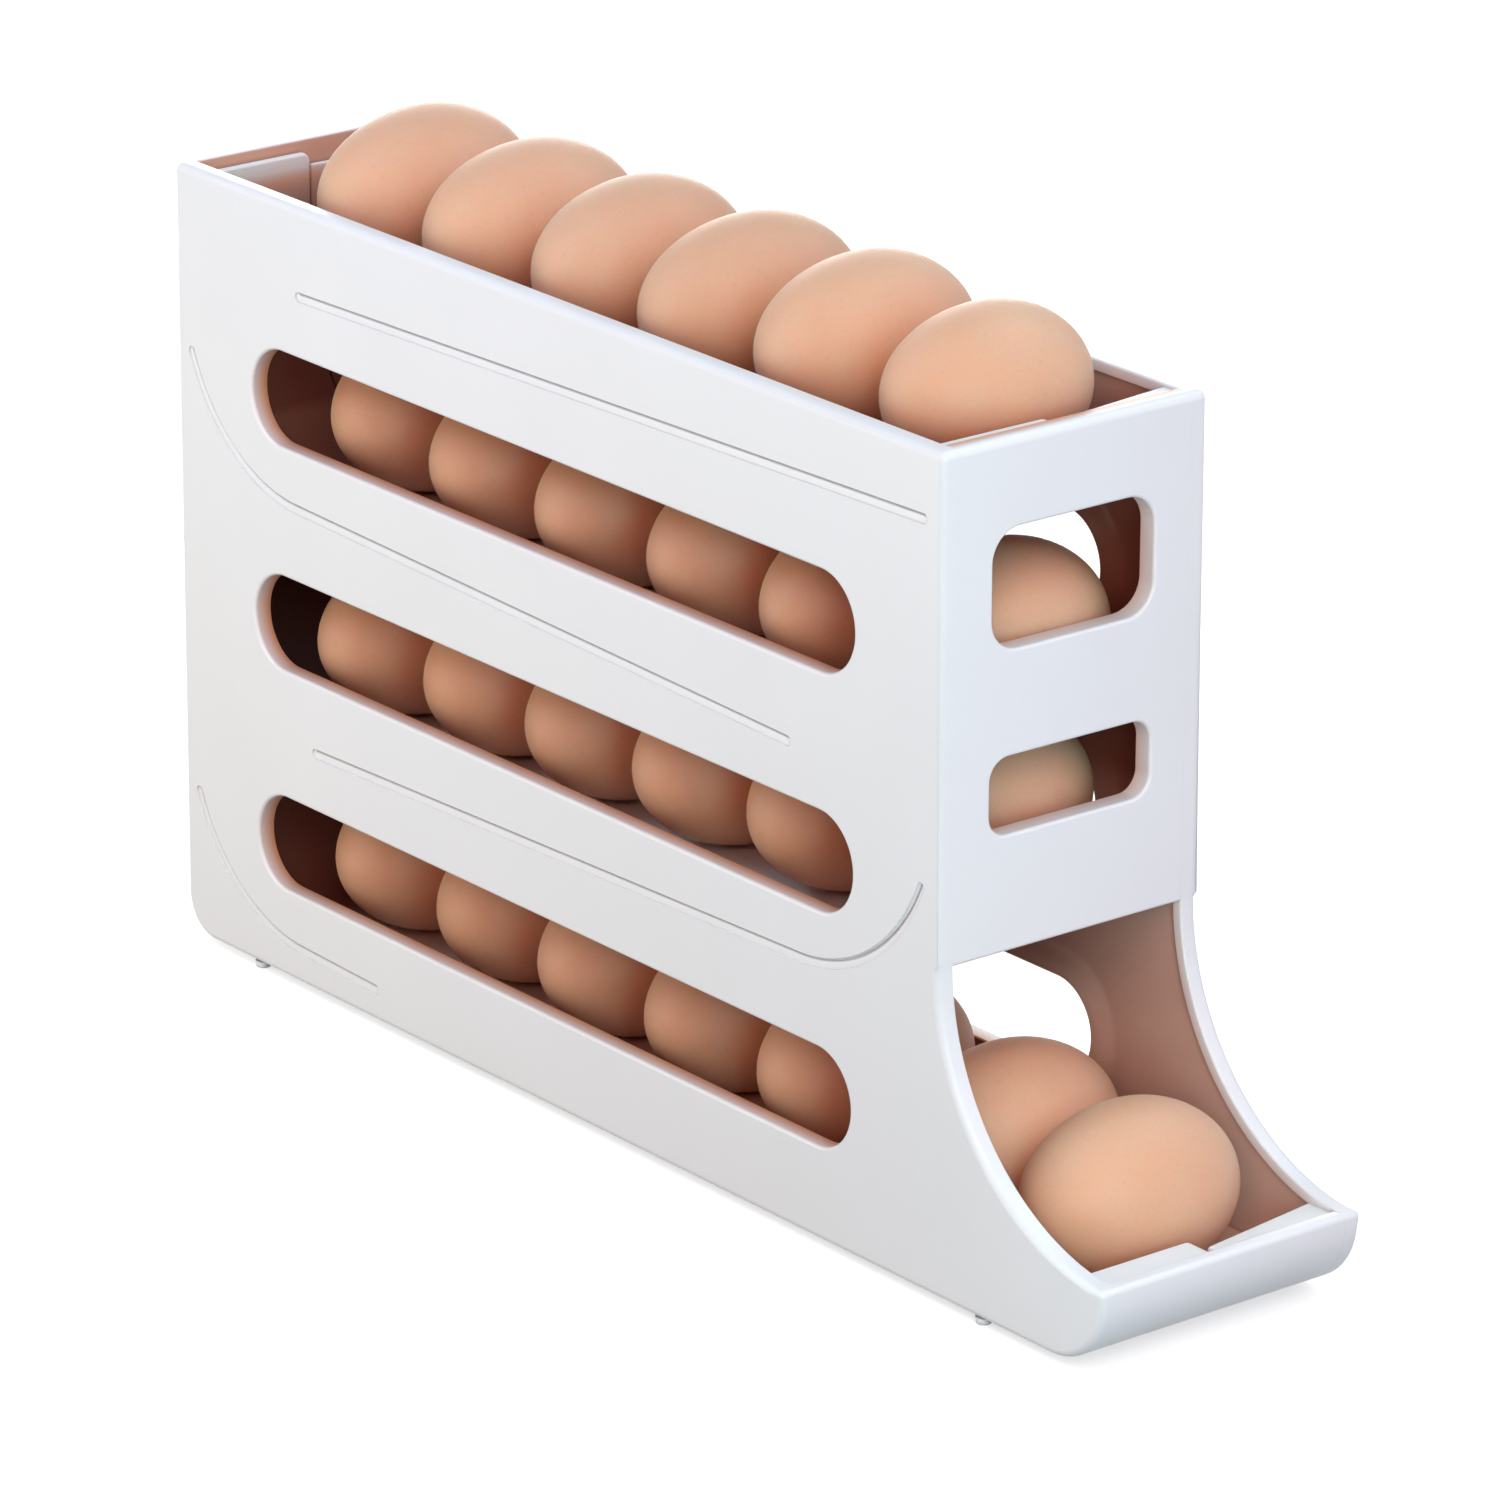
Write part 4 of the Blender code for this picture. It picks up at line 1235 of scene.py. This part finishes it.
# Each lamp's place, its width and height, and its power in watts for red, green and blue
SOFTBOXES = {
    "right_softbox": ((0.90, -1.10, 0.80), (0.80, 0.80), (3.34, 1.75, 3.22)),
    "far_front_softbox": ((-0.40, -1.20, 1.50), (0.90, 0.90), (8.13, 4.76, 4.07)),
    "left_softbox": ((-0.90, -1.00, 0.70), (0.80, 0.80), (7.04, 4.23, 3.97)),
    "front_softbox": ((-0.22, -0.50, 0.20), (0.15, 0.30), (0.47, 0.96, 1.03)),
    "high_left_softbox": ((-0.30, 0.15, 0.50), (0.25, 0.25), (0.47, 0.67, 0.93)),
    "overhead_softbox": ((0.05, -0.35, 0.70), (0.35, 0.35), (0.03, 0.64, 0.72)),
    "high_right_softbox": ((0.45, -0.10, 0.75), (0.40, 0.40), (1.05, 1.51, 1.67)),
    "back_softbox": ((0.90, 1.30, 0.35), (0.80, 0.80), (11.5, 11.0, 10.6)),
    "low_left_softbox": ((-0.50, 0.30, 0.15), (0.30, 0.30), (1.17, 1.24, 1.04)),
}
LAMP_TARGET = Vector((0, 0, 0.10))


def build_lights():
    """Lamps that light the object without showing themselves."""
    for name, (place, size, power) in SOFTBOXES.items():
        lamp = bpy.data.lights.new(name, "AREA")
        lamp.shape = "RECTANGLE"
        lamp.size, lamp.size_y = size
        lamp.energy = max(power)
        lamp.color = [value / max(power) for value in power]
        holder = placed(name, lamp)
        holder.location = place
        holder.rotation_euler = (LAMP_TARGET - Vector(place)).to_track_quat("-Z", "Y").to_euler()
        holder.visible_camera = False


# The camera's right, up and back ways, and its place
CAMERA_RIGHT = (0.78279109, -0.6222678, 0.00457105)
CAMERA_UP = (0.20816329, 0.26877041, 0.94044166)
CAMERA_BACK = (-0.58643512, -0.73521783, 0.3399244)
CAMERA_PLACE = (-1.21883478, -1.53025862, 0.80201263)


def build_camera():
    lens = bpy.data.cameras.new("photo_camera")
    lens.sensor_width = 36
    lens.lens = stage_values().focal_length
    camera = placed("photo_camera", lens)
    matrix = Matrix((CAMERA_RIGHT, CAMERA_UP, CAMERA_BACK)).transposed().to_4x4()
    matrix.translation = CAMERA_PLACE
    camera.matrix_world = matrix
    bpy.context.scene.camera = camera


class EGGDISPENSER_OT_side_panels(bpy.types.Operator):
    """Build both side panels, with their windows, pressed lines, rims and ledges"""

    bl_idname = "egg_dispenser.side_panels"
    bl_label = "Side panels"

    def execute(self, context):
        build_side_panel("left", -1)
        build_side_panel("right", 1)
        return {"FINISHED"}


class EGGDISPENSER_OT_end_panels(bpy.types.Operator):
    """Build the front, back and lip panels"""

    bl_idname = "egg_dispenser.end_panels"
    bl_label = "Front, back and lip panels"

    def execute(self, context):
        build_front_panel()
        build_back_panel()
        build_lip_panel()
        return {"FINISHED"}


class EGGDISPENSER_OT_tracks(bpy.types.Operator):
    """Build the left and right halves of the four tracks"""

    bl_idname = "egg_dispenser.tracks"
    bl_label = "Tracks"

    def execute(self, context):
        for tier in (1, 2, 3, 4):
            for label, side in (("left", -1), ("right", 1)):
                build_track("tier_" + str(tier) + "_" + label + "_track", side, tier)
        return {"FINISHED"}


class EGGDISPENSER_OT_feet(bpy.types.Operator):
    """Build the four foot pads"""

    bl_idname = "egg_dispenser.feet"
    bl_label = "Feet"

    def execute(self, context):
        for node in sorted(frame["nodes"]):
            if node.startswith("foot_"):
                build_foot(node)
        return {"FINISHED"}


class EGGDISPENSER_OT_eggs(bpy.types.Operator):
    """Build the eggs, each on its own body"""

    bl_idname = "egg_dispenser.eggs"
    bl_label = "Eggs"

    def execute(self, context):
        draw = random.Random(7)
        for body, members in sorted(frame["record"]["behaviour"]["bodies"].items()):
            for node in members:
                if "_egg_" in node:
                    build_egg(node, body, draw)
        return {"FINISHED"}


class EGGDISPENSER_OT_stage(bpy.types.Operator):
    """Set up the floor, the light and the camera"""

    bl_idname = "egg_dispenser.stage"
    bl_label = "Stage"

    def execute(self, context):
        build_floor()
        build_world()
        build_lights()
        build_camera()
        context.scene.view_settings.view_transform = "Standard"
        return {"FINISHED"}


class EGGDISPENSER_PT_sidebar(bpy.types.Panel):
    """The dispenser's operators and values"""

    bl_idname = "EGGDISPENSER_PT_sidebar"
    bl_label = "Egg dispenser"
    bl_space_type = "VIEW_3D"
    bl_region_type = "UI"
    bl_category = "Egg dispenser"

    def draw(self, context):
        for operator in OPERATORS:
            self.layout.operator(operator.bl_idname)
        for name, group in GROUPS.items():
            box = self.layout.box()
            values = getattr(context.scene, name)
            for label in group.__annotations__:
                box.prop(values, label)


GROUPS = {
    "egg_casing": CasingSizes,
    "egg_tracks": TrackSizes,
    "egg_eggs": EggSizes,
    "egg_finishes": Finishes,
    "egg_stage": StageValues,
}
OPERATORS = (
    EGGDISPENSER_OT_side_panels,
    EGGDISPENSER_OT_end_panels,
    EGGDISPENSER_OT_tracks,
    EGGDISPENSER_OT_feet,
    EGGDISPENSER_OT_eggs,
    EGGDISPENSER_OT_stage,
)
CLASSES = (*GROUPS.values(), *OPERATORS, EGGDISPENSER_PT_sidebar)


def register():
    for kind in CLASSES:
        bpy.utils.register_class(kind)
    for name, group in GROUPS.items():
        setattr(bpy.types.Scene, name, PointerProperty(type=group))


def unregister():
    for name in GROUPS:
        delattr(bpy.types.Scene, name)
    for kind in reversed(CLASSES):
        bpy.utils.unregister_class(kind)


def main():
    """Builds everything in order."""
    register()
    bpy.ops.egg_dispenser.side_panels()
    bpy.ops.egg_dispenser.end_panels()
    bpy.ops.egg_dispenser.tracks()
    bpy.ops.egg_dispenser.feet()
    bpy.ops.egg_dispenser.eggs()
    bpy.ops.egg_dispenser.stage()


if __name__ == "__main__":
    main()
